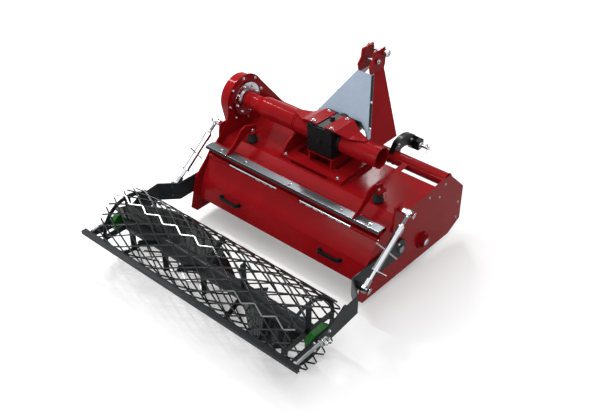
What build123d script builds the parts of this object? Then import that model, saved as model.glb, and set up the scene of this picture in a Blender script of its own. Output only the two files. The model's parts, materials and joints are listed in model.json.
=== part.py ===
# Stone burier: a tractor implement that turns stones and turf under and levels the seedbed with a mesh roller.
# Millimetres. X points right seen from behind, Y towards the tractor, Z up. Z = 0 is the ground.
# Side views are drawn as (y, z) pairs: y forward from the rotor axis, z up from the side plates' lower edge.
from build123d import *
import os
from math import atan2, cos, hypot, pi, radians, sin

os.makedirs("parts", exist_ok=True)

# Hood and side plates
hood_width = 1400           # over both side plates
plate_wall = 8              # side plates
plate_foot = 58             # lower edge of the side plates above the ground
sheet = 5                   # hood and flap sheet
front_tube_radius = 45
front_tube_y = 236
front_tube_z = 440
hood_front_edge = 113       # rear side of the slots in the hood
slot_inner_end = 283        # slots, measured from the middle of the hood
slot_rib_from = 390
slot_rib_to = 430

# Rotor
rotor_height = 180          # rotor axis above the ground
blade_rows = 12             # blade tips seen along the axis, evenly spaced
blades_per_flange = 4
flange_count = 9
flange_pitch = 152
flange_radius = 105
flange_wall = 10
shaft_radius = 42
stub_radius = 30
run_fit = 0.05              # radial clearance of a shaft in its bearing

# Drive line
drive_y = -92               # cross shaft and input shaft
drive_z = 645
box_x = 30                  # middle of the gearbox
box_width = 205
box_depth = 190
box_height = 196
box_rise = 5                # middle of the gearbox above its shafts
cover_wall = 10
input_radius = 17.45        # splined input shaft, 1 3/8 inch over the splines
input_spline = 76
input_neck = 30             # plain neck of the input shaft before the splines
cross_tube_radius = 68
cross_tube_wall = 8
open_tube_end = 425         # open end of the right cross tube
hub_radius = 113
hub_depth = 16
case_depth = 72             # chain case outside the left plate

# Pedestal of the gearbox
pedestal_half = 250
pedestal_back = -247
pedestal_front = 60
pedestal_rise = 34          # top of the frame above the hood

# Three-point hitch
mast_x = box_x
mast_wall = 12
mast_top_half = 50          # from the middle to the outside of the plates at the top
mast_bend_z = 950           # the plates splay below this height
mast_base_half = 260
mast_base_z = 590
mast_lean_y = 230           # rear edge of the plates at the bend
mast_lean = 0.81            # how far the rear edge goes back for each unit down
guard_wall = 3
guard_flange = 28
top_pin_radius = 9.5        # top link pin, category 1
top_pin_y = 350
top_pin_z = 1059
stay_pin_radius = 8
stay_pin_y = 287
stay_pin_z = 1020
hitch_pin_radius = 11       # lower link pins, category 1
hitch_pin_length = 61
hitch_spread = 624          # between the shoulders of the lower link pins
hitch_pin_y = 450
hitch_pin_z = 450
hitch_nose = 34             # end of the lower link arms in front of their pins
hitch_arm_inner = 235       # from the middle to the inside of a lower link arm
hitch_arm_wall = 36

# Rear flap
flap_y = -445               # hinge rod
flap_z = 373
hinge_rod_radius = 8
hinge_tube_radius = 13
hinge_fit = 0.4

# Roller frame and roller
pivot_y = -261
pivot_z = 219
pivot_radius = 15
arm_wall = 8
arm_gap = 6                 # between side plate and arm
roller_y = -1100.5
roller_radius = 220
net_half_length = 774
net_wall = 6
net_round = 18              # openings of the net round the roller
net_opening = 151           # length of one opening
net_start = 32              # first crossing right of the middle
strand_width = 8
roller_side_gap = 40        # from the net to the arm, filled by the bearing
axle_radius = 17.5
core_radius = 50
core_wall = 6
bar_rear = 1364             # rear face of the cross bar behind the rotor axis
bar_foot_z = 154
bar_top_z = 178
bar_overhang = 60           # the cross bar past the arms
bar_wall = 6
bar_flange = 36

# Turnbuckles
buckle_out = 61             # from the arm's outside to the middle of the turnbuckle
buckle_top_y = -289
buckle_top_z = 521
buckle_foot_y = -676
buckle_foot_z = 213
buckle_pin_radius = 11
buckle_drift = 3.5          # play of the lower eye round its pin

# Worked-out places
half = hood_width / 2
inner_half = half - plate_wall
front_reach = hitch_pin_y + hitch_nose
rotor_y = (bar_rear - front_reach) / 2
tip_radius = rotor_height / cos(pi / blade_rows)
roller_z = roller_radius - plate_foot
rotor_z = rotor_height - plate_foot
arm_x = half + arm_gap
frame_x = net_half_length + roller_side_gap
buckle_x = arm_x + arm_wall + buckle_out
box_front = drive_y + box_depth / 2
box_back = drive_y - box_depth / 2
box_base = drive_z + box_rise - box_height / 2
box_top = box_base + box_height
box_right = box_x + box_width / 2
box_left = box_x - box_width / 2
mast_splay = (mast_base_half - mast_top_half) / (mast_bend_z - mast_base_z)


def side(y, z):
    """A side-view place as coordinates on a YZ plane."""
    return (rotor_y + y, plate_foot + z)


def side_points(points):
    return [side(y, z) for y, z in points]


def strip(points, wall):
    """Closed outline of a bent sheet: the given outer line and its copy one wall to the right of its travel."""
    inner = []
    for i, (x, y) in enumerate(points):
        before = points[max(i - 1, 0)]
        after = points[min(i + 1, len(points) - 1)]
        ahead = atan2(after[1] - y, after[0] - x) if after != (x, y) else None
        behind = atan2(y - before[1], x - before[0]) if before != (x, y) else None
        ahead = behind if ahead is None else ahead
        behind = ahead if behind is None else behind
        middle = (ahead + behind) / 2
        reach = wall / cos((ahead - behind) / 2)
        inner.append((x + reach * sin(middle), y - reach * cos(middle)))
    return points + inner[::-1]


def write(node, name):
    node.part.label = name
    export_step(node.part, f"parts/{name}.step")


# Side plates, with the hole that the rotor's stub passes through
plate_outline = [
    (253, 476), (426, 310), (428, 60), (304, 0), (-586, 0),
    (-630, 46), (-574, 260), (-478, 350), (-424, 414), (-138, 454),
]
hump_radius = 165
hump_outline = [(-252, 640), (-263, 560), (-320, 484), (-402, 415), (331, 400), (36, 744)]

for name, sign in (("right", 1), ("left", -1)):
    with BuildPart() as side_plate:
        with BuildSketch(Plane.YZ.offset(sign * half)) as outline:
            Polygon(*side_points(plate_outline), align=None)
            if sign < 0:
                Polygon(*side_points(hump_outline), align=None)
                with Locations(side(drive_y, drive_z)):
                    Circle(hump_radius)
            with Locations(side(0, rotor_z)):
                Circle(stub_radius + 6, mode=Mode.SUBTRACT)
        extrude(amount=-sign * plate_wall)
    write(side_plate, f"side_plate_{name}")

# Chain case outside the left plate, with the bore of the rotor's stub
case_top_radius = 150
case_foot_radius = 118
case_wall = 8
with BuildPart() as chain_case:
    with BuildSketch(Plane.YZ.offset(-half)):
        with Locations(side(drive_y, drive_z)):
            Circle(case_top_radius)
        with Locations(side(0, rotor_z)):
            Circle(case_foot_radius)
        make_hull()
    extrude(amount=-case_depth)
    with BuildSketch(Plane.YZ.offset(-half)):
        with Locations(side(0, rotor_z)):
            Circle(stub_radius + run_fit)
    extrude(amount=-case_depth + case_wall, mode=Mode.SUBTRACT)
write(chain_case, "chain_case")

# Hood: one bent sheet between the side plates, with four slots behind the front tube
tube_back = front_tube_y - (front_tube_radius ** 2 - 20 ** 2) ** 0.5
hood_line = [(-366, 392), (-345, 398), (-262, 440), (tube_back, front_tube_z + 20)]
with BuildPart() as hood_top:
    with BuildSketch(Plane.YZ.offset(-inner_half)):
        Polygon(*strip(side_points(hood_line), sheet), align=None)
    extrude(amount=2 * inner_half)
    with BuildSketch(Plane.XY.offset(plate_foot + front_tube_z - front_tube_radius)):
        for sign in (1, -1):
            for start, end in ((slot_inner_end, slot_rib_from), (slot_rib_to, inner_half)):
                with Locations((sign * (start + end) / 2, rotor_y + (hood_front_edge + tube_back) / 2)):
                    Rectangle(end - start, tube_back - hood_front_edge + 1)
    extrude(amount=2 * front_tube_radius, mode=Mode.SUBTRACT)
    with BuildSketch(Plane.YZ.offset(-inner_half)):
        with Locations(side(front_tube_y, front_tube_z)):
            Circle(front_tube_radius)
    extrude(amount=2 * inner_half, mode=Mode.SUBTRACT)
write(hood_top, "hood_top")

with BuildPart() as front_tube:
    with BuildSketch(Plane.YZ.offset(-inner_half)):
        with Locations(side(front_tube_y, front_tube_z)):
            Circle(front_tube_radius)
            Circle(front_tube_radius - 6, mode=Mode.SUBTRACT)
    extrude(amount=2 * inner_half)
write(front_tube, "front_tube")

# Gearbox with its rear cover
box_corner = 12
collar_radius = 48
collar_reach = 16
with BuildPart() as gearbox:
    with Locations((box_x, rotor_y + drive_y, plate_foot + drive_z + box_rise)):
        Box(box_width, box_depth, box_height)
    chamfer(gearbox.edges().filter_by(Axis.Y), box_corner)
    with BuildSketch(Plane.XZ.offset(-(rotor_y + box_front))):
        with Locations((box_x, plate_foot + drive_z)):
            Circle(collar_radius)
    extrude(amount=-collar_reach)
    with BuildSketch(Plane.XZ.offset(-(rotor_y + box_front + collar_reach))):
        with Locations((box_x, plate_foot + drive_z)):
            Circle(input_neck + run_fit)
    extrude(amount=collar_reach, mode=Mode.SUBTRACT)
write(gearbox, "gearbox")

cover_edge = 11             # gearbox left bare round the cover
with BuildPart() as gearbox_cover:
    with BuildSketch(Plane.XZ.offset(-(rotor_y + box_back))):
        with Locations((box_x, plate_foot + drive_z + box_rise)):
            cover = Rectangle(box_width - cover_edge, box_height - cover_edge)
        chamfer(cover.vertices(), box_corner)
    extrude(amount=cover_wall)
write(gearbox_cover, "gearbox_cover")

neck_start = box_front + 0.1
neck_end = box_front + collar_reach + 20
with BuildPart() as input_shaft:
    for start, end, radius in (
        (neck_start, neck_end, input_neck), (neck_end, neck_end + input_spline, input_radius),
    ):
        with BuildSketch(Plane.XZ.offset(-(rotor_y + start))):
            with Locations((box_x, plate_foot + drive_z)):
                Circle(radius)
        extrude(amount=-(end - start))
write(input_shaft, "input_shaft")

# Cross shaft housing: a flared tube from the hub flange on the left, an open tube on the right
hub_rise_radius = 70
hub_rise = 10
tube_neck_radius = 52
tube_neck_end = -560
tube_flare_end = -500
with BuildPart() as hub_flange:
    for radius, depth in ((hub_radius, hub_depth), (hub_rise_radius, hub_depth + hub_rise)):
        with BuildSketch(Plane.YZ.offset(-inner_half)):
            with Locations(side(drive_y, drive_z)):
                Circle(radius)
        extrude(amount=depth)
write(hub_flange, "hub_flange")

hub_face = -inner_half + hub_depth + hub_rise
with BuildPart() as cross_tube_left:
    with BuildSketch(Plane(origin=(0, *side(drive_y, drive_z)), x_dir=(1, 0, 0), z_dir=(0, -1, 0))):
        Polygon(
            (hub_face, 0), (hub_face, tube_neck_radius), (tube_neck_end, tube_neck_radius),
            (tube_flare_end, cross_tube_radius), (box_left, cross_tube_radius), (box_left, 0), align=None,
        )
    revolve(axis=Axis((0, *side(drive_y, drive_z)), (1, 0, 0)))
write(cross_tube_left, "cross_tube_left")

with BuildPart() as cross_tube_right:
    with BuildSketch(Plane.YZ.offset(box_right)):
        with Locations(side(drive_y, drive_z)):
            Circle(cross_tube_radius)
            Circle(cross_tube_radius - cross_tube_wall, mode=Mode.SUBTRACT)
    extrude(amount=open_tube_end - box_right)
write(cross_tube_right, "cross_tube_right")


def hood_height(y):
    """Height of the hood's top panel at a place along the machine."""
    (bend_y, bend_z), (front_y, front_z) = hood_line[2:]
    return bend_z + (y - bend_y) * (front_z - bend_z) / (front_y - bend_y)


# Pedestal: a frame on the hood with a pocket and a rear notch, two walls with a table, and a saddle on the left
pocket = (-180, 150, -160, 10)          # inside of the frame: left, right, back, front
notch = (-155, 140, 22)                 # opening in the frame's rear edge: left, right, height
table_wall = 12
saddle_x = -228
saddle_wall = 12
saddle_drop = 62            # corners of the saddle under the tube
with BuildPart() as pedestal:
    foot = [(pedestal_back, hood_height(pedestal_back)), (pedestal_front, hood_height(pedestal_front))]
    with BuildSketch(Plane.YZ.offset(-pedestal_half)):
        Polygon(*side_points(foot + [(y, z + pedestal_rise) for y, z in foot[::-1]]), align=None)
    extrude(amount=2 * pedestal_half)
    with BuildSketch(Plane.XY.offset(plate_foot + foot[0][1])):
        left, right, back, front = pocket
        with Locations(((left + right) / 2, rotor_y + (back + front) / 2)):
            Rectangle(right - left, front - back)
    extrude(amount=2 * pedestal_rise + pedestal_front - pedestal_back, mode=Mode.SUBTRACT)
    with BuildSketch(Plane.XZ.offset(-(rotor_y + pedestal_back))):
        with Locations(((notch[0] + notch[1]) / 2, plate_foot + foot[0][1])):
            Rectangle(notch[1] - notch[0], 2 * notch[2])
    extrude(amount=-(pocket[2] - pedestal_back) / 2, mode=Mode.SUBTRACT)
    for x in (box_left + 10, box_right - 10 - table_wall):
        with BuildSketch(Plane.YZ.offset(x)):
            web = [(y, hood_height(y)) for y in (pedestal_back + 60, pedestal_front - 20)]
            Polygon(*side_points(web + [(box_front, box_base), (box_back, box_base)]), align=None)
        extrude(amount=table_wall)
    with Locations((box_x, rotor_y + drive_y, plate_foot + box_base - table_wall / 2)):
        Box(box_width, box_depth, table_wall)
    with BuildSketch(Plane.YZ.offset(saddle_x)):
        saddle_reach = (pedestal_front - pedestal_back) / 2 - 10
        with BuildLine():
            low = drive_z - cross_tube_radius - saddle_drop
            ends = [side(drive_y + sign * saddle_reach, low) for sign in (-1, 1)]
            ThreePointArc(ends[0], side(drive_y, drive_z - cross_tube_radius + 8), ends[1])
            Polyline(
                ends[1], side(drive_y + saddle_reach, hood_height(drive_y + saddle_reach)),
                side(drive_y - saddle_reach, hood_height(drive_y - saddle_reach)), ends[0],
            )
        make_face()
        with Locations(side(drive_y, drive_z)):
            Circle(cross_tube_radius, mode=Mode.SUBTRACT)
    extrude(amount=saddle_wall)
write(pedestal, "pedestal")

# Folded brackets over the gearbox: flat on its top, down a slope, then flat along the tube
bracket_wall = 7
bracket_flat = box_width / 2 + 8        # end of the flat stretch, from the middle of the gearbox
bracket_plan = [(30, 92), (bracket_flat, 92), (185, 57), (278, 15)]      # from the middle, half width
bracket_seat = 0.3
for name, sign in (("left", -1), ("right", 1)):
    reach, spread = zip(*bracket_plan)
    tops = (box_top + bracket_wall, box_top + bracket_wall) + 2 * (
        drive_z + cross_tube_radius + bracket_wall + bracket_seat,)
    with BuildPart() as bracket:
        with BuildSketch(Plane.XZ.offset(-(rotor_y + drive_y + spread[0]))):
            line = [(box_x + sign * x, plate_foot + z) for x, z in zip(reach, tops)]
            Polygon(*strip(line, sign * bracket_wall), align=None)
        extrude(amount=2 * spread[0])
        with BuildSketch(Plane.XY.offset(plate_foot + drive_z)):
            plan = [(x, y) for x, y in bracket_plan] + [(x, -y) for x, y in bracket_plan[::-1]]
            Polygon(*[(box_x + sign * x, rotor_y + drive_y + y) for x, y in plan], align=None)
        extrude(amount=box_height, mode=Mode.INTERSECT)
    write(bracket, f"gearbox_bracket_{name}")

# Headstock: two plates that splay from the top link down to the cross tubes
mast_side = [
    (mast_lean_y - mast_lean * (mast_bend_z - mast_base_z), mast_base_z), (mast_lean_y, mast_bend_z),
    (218, 997), (248, 1033), (256, 1088), (298, 1087), (364, 1093), (373, 1043), (371, 976), (248, mast_base_z),
]
mast_front, mast_tip = (max(places) for places in zip(*mast_side))
for name, sign in (("right", 1), ("left", -1)):
    line = [(mast_top_half, mast_tip), (mast_top_half, mast_bend_z), (mast_base_half, mast_base_z)]
    profile = [(mast_x + sign * x, plate_foot + z) for x, z in strip(line, mast_wall)]
    with BuildPart() as mast_plate:
        with BuildSketch(Plane.XZ.offset(-(rotor_y + mast_side[0][0]))):
            Polygon(*profile, align=None)
        extrude(amount=mast_side[0][0] - mast_front)
        with BuildSketch(Plane.YZ.offset(mast_x)):
            Polygon(*side_points(mast_side), align=None)
        extrude(amount=sign * (mast_base_half + mast_wall), mode=Mode.INTERSECT)
        with BuildSketch(Plane.YZ.offset(mast_x)):
            for place, radius in (
                ((drive_y, drive_z), cross_tube_radius), ((top_pin_y, top_pin_z), top_pin_radius),
                ((stay_pin_y, stay_pin_z), stay_pin_radius),
            ):
                with Locations(side(*place)):
                    Circle(radius)
        extrude(amount=sign * (mast_base_half + mast_wall), mode=Mode.SUBTRACT)
    write(mast_plate, f"mast_plate_{name}")

pin_overhang = 27
pin_head_radius = 16
pin_head_gap = 3
with BuildPart() as top_link_pin:
    with BuildSketch(Plane.YZ.offset(mast_x - mast_top_half - pin_overhang)):
        with Locations(side(top_pin_y, top_pin_z)):
            Circle(top_pin_radius)
    extrude(amount=2 * (mast_top_half + pin_overhang))
    with BuildSketch(Plane.YZ.offset(mast_x + mast_top_half + pin_head_gap)):
        with Locations(side(top_pin_y, top_pin_z)):
            Circle(pin_head_radius)
    extrude(amount=pin_overhang - pin_head_gap)
write(top_link_pin, "top_link_pin")

stay_overhang = 10
with BuildPart() as stay_pin:
    with BuildSketch(Plane.YZ.offset(mast_x - mast_top_half - stay_overhang)):
        with Locations(side(stay_pin_y, stay_pin_z)):
            Circle(stay_pin_radius)
    extrude(amount=2 * (mast_top_half + stay_overhang))
write(stay_pin, "stay_pin")

# Guard sheet behind the headstock, folded forward over the outside of its plates
guard_foot_z = 659
guard_arch = [(170, 698), (129, 723)]       # cut-out for the drive shaft: from the middle, height
guard_stretch = hypot(1, mast_lean)
guard_skirt = guard_wall * hypot(1, mast_splay)


def mast_edge(z):
    """Rear edge of the mast plates at a height below the bend."""
    return mast_lean_y - mast_lean * (mast_bend_z - z)


def mast_half(z):
    return mast_top_half + mast_splay * (mast_bend_z - z)


with BuildPart() as mast_guard:
    for sign in (1, -1):
        line = [(mast_half(z) + guard_skirt, z) for z in (mast_bend_z, guard_foot_z)]
        with BuildSketch(Plane.XZ.offset(-(rotor_y + mast_edge(guard_foot_z)))):
            Polygon(*[(mast_x + sign * x, plate_foot + z) for x, z in strip(line, guard_wall)], align=None)
        extrude(amount=mast_edge(guard_foot_z) - mast_lean_y - guard_flange)
    with BuildSketch(Plane.YZ.offset(mast_x - mast_base_half)):
        ends = [(mast_edge(z), z) for z in (guard_foot_z, mast_bend_z)]
        Polygon(*side_points(ends + [(y + guard_flange, z) for y, z in ends[::-1]]), align=None)
    extrude(amount=2 * mast_base_half, mode=Mode.INTERSECT)
    lean = Plane(
        origin=(mast_x, *side(mast_lean_y, mast_bend_z)), x_dir=(1, 0, 0),
        z_dir=(0, -1 / guard_stretch, mast_lean / guard_stretch),
    )
    with BuildSketch(lean):
        outline = [(mast_half(z) + guard_skirt, z) for z in (mast_bend_z, guard_foot_z)] + guard_arch
        outline += [(-x, z) for x, z in outline[::-1]]
        Polygon(*[(x, (z - mast_bend_z) * guard_stretch) for x, z in outline], align=None)
    extrude(amount=guard_wall)
write(mast_guard, "mast_guard")

# Lower link arms, arched forward from the front tube, and their pins
arch_foot = (204, 474)
arch_start = (247, 537)
arch_crown = (350, 556)
arch_end = (hitch_pin_y, 506)
arch_under = [(hitch_pin_y - 25, 418), (374, 468), (291, 477)]
with BuildPart() as hitch_arms:
    for sign in (1, -1):
        inner = mast_x + sign * hitch_arm_inner
        nose = hitch_pin_y + hitch_nose
        with BuildSketch(Plane.YZ.offset(inner)):
            with BuildLine():
                ThreePointArc(side(*arch_start), side(*arch_crown), side(*arch_end))
                Polyline(
                    side(*arch_end), side(nose, hitch_pin_z + 30), side(nose, arch_under[0][1]),
                    side(*arch_under[0]),
                )
                ThreePointArc(*[side(*place) for place in arch_under])
                Polyline(
                    side(*arch_under[-1]), side(front_tube_y + front_tube_radius, front_tube_z),
                    side(front_tube_y, front_tube_z), side(*arch_foot), side(*arch_start),
                )
            make_face()
        extrude(amount=sign * hitch_arm_wall)
        with BuildSketch(Plane.YZ.offset(inner)):
            block = [(y, z) for z in (hitch_pin_z - 32, hitch_pin_z + 30) for y in (hitch_pin_y - 22, nose)]
            Polygon(*side_points([block[0], block[1], block[3], block[2]]), align=None)
        extrude(amount=sign * (hitch_spread / 2 - hitch_arm_inner))
    with BuildSketch(Plane.YZ.offset(mast_x)):
        with Locations(side(front_tube_y, front_tube_z)):
            Circle(front_tube_radius)
    extrude(amount=hitch_spread, both=True, mode=Mode.SUBTRACT)
write(hitch_arms, "hitch_arms")

with BuildPart() as hitch_pins:
    for sign in (1, -1):
        with BuildSketch(Plane.YZ.offset(mast_x + sign * hitch_spread / 2)):
            with Locations(side(hitch_pin_y, hitch_pin_z)):
                Circle(hitch_pin_radius)
        extrude(amount=sign * hitch_pin_length)
write(hitch_pins, "hitch_pins")

# Comb behind the rotor: a lipped strip on a beam, its tines, two brackets and their rubber buffers
slat_half = half - 4        # over the edges of the side plates
slat_wall = 6
slat_z = 448
slat_line = [(-473, slat_z - 14), (-463, slat_z), (-405, slat_z)]
beam_y = -404               # middle of the beam under the strip
beam_depth = 42
beam_height = 84
tine_pitch = 60
tine_width = 14
tine_depth = 10
tine_count = 22
comb_rib_x = 510
comb_rib_wall = 8
buffer_y = -225
buffer_radius = 25
buffer_taper = 8            # degrees
buffer_top = 520
with BuildPart() as comb_slat:
    with BuildSketch(Plane.YZ.offset(-slat_half)):
        Polygon(*strip(side_points(slat_line), slat_wall), align=None)
    extrude(amount=2 * slat_half)
write(comb_slat, "comb_slat")

beam_top = slat_z - slat_wall
beam_foot = beam_top - beam_height
with BuildPart() as comb_beam:
    with BuildSketch(Plane.YZ.offset(-inner_half)):
        with Locations(side(beam_y, beam_top - beam_height / 2)):
            Rectangle(beam_depth, beam_height)
            Rectangle(beam_depth - 2 * sheet, beam_height - 2 * sheet, mode=Mode.SUBTRACT)
    extrude(amount=2 * inner_half)
write(comb_beam, "comb_beam")

tine_y = beam_y + tine_depth / 2
tine_line = [(tine_y, beam_foot), (tine_y, 320), (-372, 180), (-310, 20), (-246, -18)]
with BuildPart() as comb_tines:
    for i in range(tine_count):
        with BuildSketch(Plane.YZ.offset((i - (tine_count - 1) / 2) * tine_pitch - tine_width / 2)):
            Polygon(*strip(side_points(tine_line), tine_depth), align=None)
        extrude(amount=tine_width)
write(comb_tines, "comb_tines")

tab_width = 70
tab_wall = 8
tab_front = buffer_y + tab_width / 2
rib_outline = [
    (-439, slat_z), (-329, 573), (-285, 588), (tab_front, 556), (tab_front, buffer_top + tab_wall),
    (-270, buffer_top + tab_wall), (slat_line[2][0], slat_z),
]
for name, sign in (("right", 1), ("left", -1)):
    with BuildPart() as comb_bracket:
        with BuildSketch(Plane.YZ.offset(sign * comb_rib_x - comb_rib_wall / 2)):
            Polygon(*side_points(rib_outline), align=None)
        extrude(amount=comb_rib_wall)
        with Locations((sign * comb_rib_x, rotor_y + buffer_y, plate_foot + buffer_top + tab_wall / 2)):
            Box(tab_width, tab_width, tab_wall)
    write(comb_bracket, f"comb_bracket_{name}")

with BuildPart() as comb_buffers:
    for sign in (1, -1):
        low = plate_foot + hood_height(buffer_y + buffer_radius) + 0.1
        with BuildSketch(Plane.XY.offset(low)):
            with Locations((sign * comb_rib_x, rotor_y + buffer_y)):
                Circle(buffer_radius)
        extrude(amount=plate_foot + buffer_top - low, taper=buffer_taper)
write(comb_buffers, "comb_buffers")

# Rotor bearing cap on the right plate
cap_radius = 56
cap_wall = 12
cap_crown_radius = 40
cap_depth = 32
stub_reach = 24             # rotor's stub outside the side plates
with BuildPart() as bearing_cap:
    for radius, depth in ((cap_radius, cap_wall), (cap_crown_radius, cap_depth)):
        with BuildSketch(Plane.YZ.offset(half)):
            with Locations(side(0, rotor_z)):
                Circle(radius)
        extrude(amount=depth)
    with BuildSketch(Plane.YZ.offset(half)):
        with Locations(side(0, rotor_z)):
            Circle(stub_radius + run_fit)
    extrude(amount=stub_reach, mode=Mode.SUBTRACT)
write(bearing_cap, "rotor_bearing_cap")

# Pivot bolts of the roller arms, and the lugs of the turnbuckles, on both side plates
pivot_play = 1
pivot_head_radius = 24
pivot_head = 16
with BuildPart() as pivot_bolts:
    for sign in (1, -1):
        with BuildSketch(Plane.YZ.offset(sign * half)):
            with Locations(side(pivot_y, pivot_z)):
                Circle(pivot_radius)
        extrude(amount=sign * (arm_gap + arm_wall + pivot_play))
        with BuildSketch(Plane.YZ.offset(sign * (half + arm_gap + arm_wall + pivot_play))):
            with Locations(side(pivot_y, pivot_z)):
                RegularPolygon(pivot_head_radius, 6)
        extrude(amount=sign * pivot_head)
write(pivot_bolts, "pivot_bolts")

lug_wall = 12
lug_outline = [(-345, 380), (-230, 380), (-255, 545), (-325, 545)]
eye_width = 22
eye_radius = 22
pin_reach = 32              # pins past the middle of the turnbuckles
sleeve_radius = 18
with BuildPart() as buckle_lugs:
    for sign in (1, -1):
        with BuildSketch(Plane.YZ.offset(sign * half)):
            Polygon(*side_points(lug_outline), align=None)
        extrude(amount=sign * lug_wall)
        for radius, end in (
            (sleeve_radius, buckle_x - eye_width / 2 - 1), (buckle_pin_radius, buckle_x + pin_reach),
        ):
            with BuildSketch(Plane.YZ.offset(sign * half)):
                with Locations(side(buckle_top_y, buckle_top_z)):
                    Circle(radius)
            extrude(amount=sign * (end - half))
write(buckle_lugs, "buckle_lugs")

# Rotor: shaft with eight-sided flanges, and four blades on each flange
rotor_gap = 5               # from the side plates
with BuildPart() as rotor_shaft:
    with BuildSketch(Plane.YZ.offset(-inner_half + rotor_gap)):
        with Locations(side(0, rotor_z)):
            Circle(shaft_radius)
    extrude(amount=2 * (inner_half - rotor_gap))
    with BuildSketch(Plane.YZ.offset(-half - stub_reach + 2)):
        with Locations(side(0, rotor_z)):
            Circle(stub_radius)
    extrude(amount=2 * (half + stub_reach - 2))
    for i in range(flange_count):
        x = (i - (flange_count - 1) / 2) * flange_pitch
        with BuildSketch(Plane.YZ.offset(x - flange_wall / 2)):
            with Locations(side(0, rotor_z)):
                RegularPolygon(flange_radius, 8)
        extrude(amount=flange_wall)
write(rotor_shaft, "rotor_shaft")

blade_wall = 12
blade_foot = 62             # nearest the shaft
blade_half = 28
blade_outline = [
    (blade_foot, -blade_half), (blade_foot, blade_half), (tip_radius - 40, blade_half - 2), (tip_radius, 0),
    (tip_radius - 60, -blade_half - 2),
]
with BuildPart() as rotor_blades:
    for i in range(flange_count):
        x = (i - (flange_count - 1) / 2) * flange_pitch
        hand = 1 if i < flange_count / 2 else -1
        for k in range(blades_per_flange):
            angle = 360 / blades_per_flange * k + 360 / blade_rows * i - 90 + 180 / blade_rows
            turned = Plane(
                origin=(x + hand * flange_wall / 2, *side(0, rotor_z)),
                x_dir=(0, cos(radians(angle)), sin(radians(angle))),
                z_dir=(1, 0, 0),
            )
            with BuildSketch(turned):
                Polygon(*blade_outline, align=None)
            extrude(amount=hand * blade_wall)
write(rotor_blades, "rotor_blades")

# Rear flap with its hinge tube, on the rod between the side plates
with BuildPart() as flap_rod:
    with BuildSketch(Plane.YZ.offset(-inner_half)):
        with Locations(side(flap_y, flap_z)):
            Circle(hinge_rod_radius)
    extrude(amount=2 * inner_half)
write(flap_rod, "flap_rod")

flap_half = inner_half - 7
flap_line = [(flap_y - 6, flap_z - 10), (-527, 225), (-561, 100)]
with BuildPart() as flap_panel:
    with BuildSketch(Plane.YZ.offset(-flap_half)):
        Polygon(*strip(side_points(flap_line[::-1]), sheet), align=None)
        with Locations(side(flap_y, flap_z)):
            Circle(hinge_tube_radius)
    extrude(amount=2 * flap_half)
    with BuildSketch(Plane.YZ.offset(-inner_half)):
        with Locations(side(flap_y, flap_z)):
            Circle(hinge_rod_radius + hinge_fit)
    extrude(amount=2 * inner_half, mode=Mode.SUBTRACT)
write(flap_panel, "flap_panel")

handle_z = 180
handle_ends = (330, 497)    # inside and outside of each handle
handle_reach = 38
handle_bar = 14
handle_depth = 18
flap_slope = atan2(flap_line[1][1] - flap_line[2][1], flap_line[1][0] - flap_line[2][0])
handle_y = flap_line[2][0] + (handle_z - flap_line[2][1]) / (flap_line[1][1] - flap_line[2][1]) * (
    flap_line[1][0] - flap_line[2][0])
with BuildPart() as flap_handles:
    for sign in (1, -1):
        middle = sign * sum(handle_ends) / 2
        length = handle_ends[1] - handle_ends[0]
        outward = (0, -sin(flap_slope), cos(flap_slope))
        along = (0, cos(flap_slope), sin(flap_slope))
        y, z = side(handle_y, handle_z)
        with BuildSketch(Plane(origin=(middle, y, z), x_dir=(1, 0, 0), z_dir=along)) as bow:
            foot = -handle_reach
            Polygon((-length / 2, 0), (length / 2, 0), (length / 2, foot), (-length / 2, foot), align=None)
            fillet(bow.vertices().group_by(Axis.Y)[0], 20)
            inside = length / 2 - handle_bar
            Polygon(
                (-inside, 0), (inside, 0), (inside, foot + handle_bar), (-inside, foot + handle_bar), align=None,
                mode=Mode.SUBTRACT,
            )
        extrude(amount=handle_depth / 2, both=True)
write(flap_handles, "flap_handles")

# Roller arms: plates that run back beside the hood, step outwards and pass the roller's ends
arm_top = [
    (-212, 262), (-272, 275), (-708, 272), (-883, 254), (-898, 271), (-914, 271), (-936, 254), (-1035, 206),
    (-1157, 200), (-bar_rear + bar_flange, 183), (-bar_rear + bar_flange, bar_top_z - bar_wall),
    (-bar_rear, bar_top_z - bar_wall),
]
arm_foot = [
    (-bar_rear, bar_foot_z), (-1080, 113), (-1008, 112), (-798, 138), (-708, 150), (-250, 155), (-196, 166),
]
arm_plan = [(arm_x, -150), (arm_x, -708), (frame_x, -796), (frame_x, -bar_rear + bar_wall)]
arm_end_radius = 58
foot_boss_radius = 20
for name, sign in (("right", 1), ("left", -1)):
    with BuildPart() as roller_arm:
        with BuildSketch(Plane.XY):
            plan = [(sign * x, rotor_y + y) for x, y in arm_plan]
            Polygon(*strip(plan, -sign * arm_wall), align=None)
        extrude(amount=plate_foot + drive_z)
        with BuildSketch(Plane.YZ):
            Polygon(*side_points(arm_top + arm_foot), align=None)
            with Locations(side(pivot_y, pivot_z)):
                Circle(arm_end_radius)
                Circle(pivot_radius + run_fit, mode=Mode.SUBTRACT)
        extrude(amount=sign * (frame_x + arm_wall), mode=Mode.INTERSECT)
        outside = arm_x + arm_wall
        for radius, end in (
            (foot_boss_radius, buckle_x - eye_width / 2 - 2), (buckle_pin_radius, buckle_x + pin_reach),
        ):
            with BuildSketch(Plane.YZ.offset(sign * outside)):
                with Locations(side(buckle_foot_y, buckle_foot_z)):
                    Circle(radius)
            extrude(amount=sign * (end - outside))
    write(roller_arm, f"roller_arm_{name}")

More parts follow.
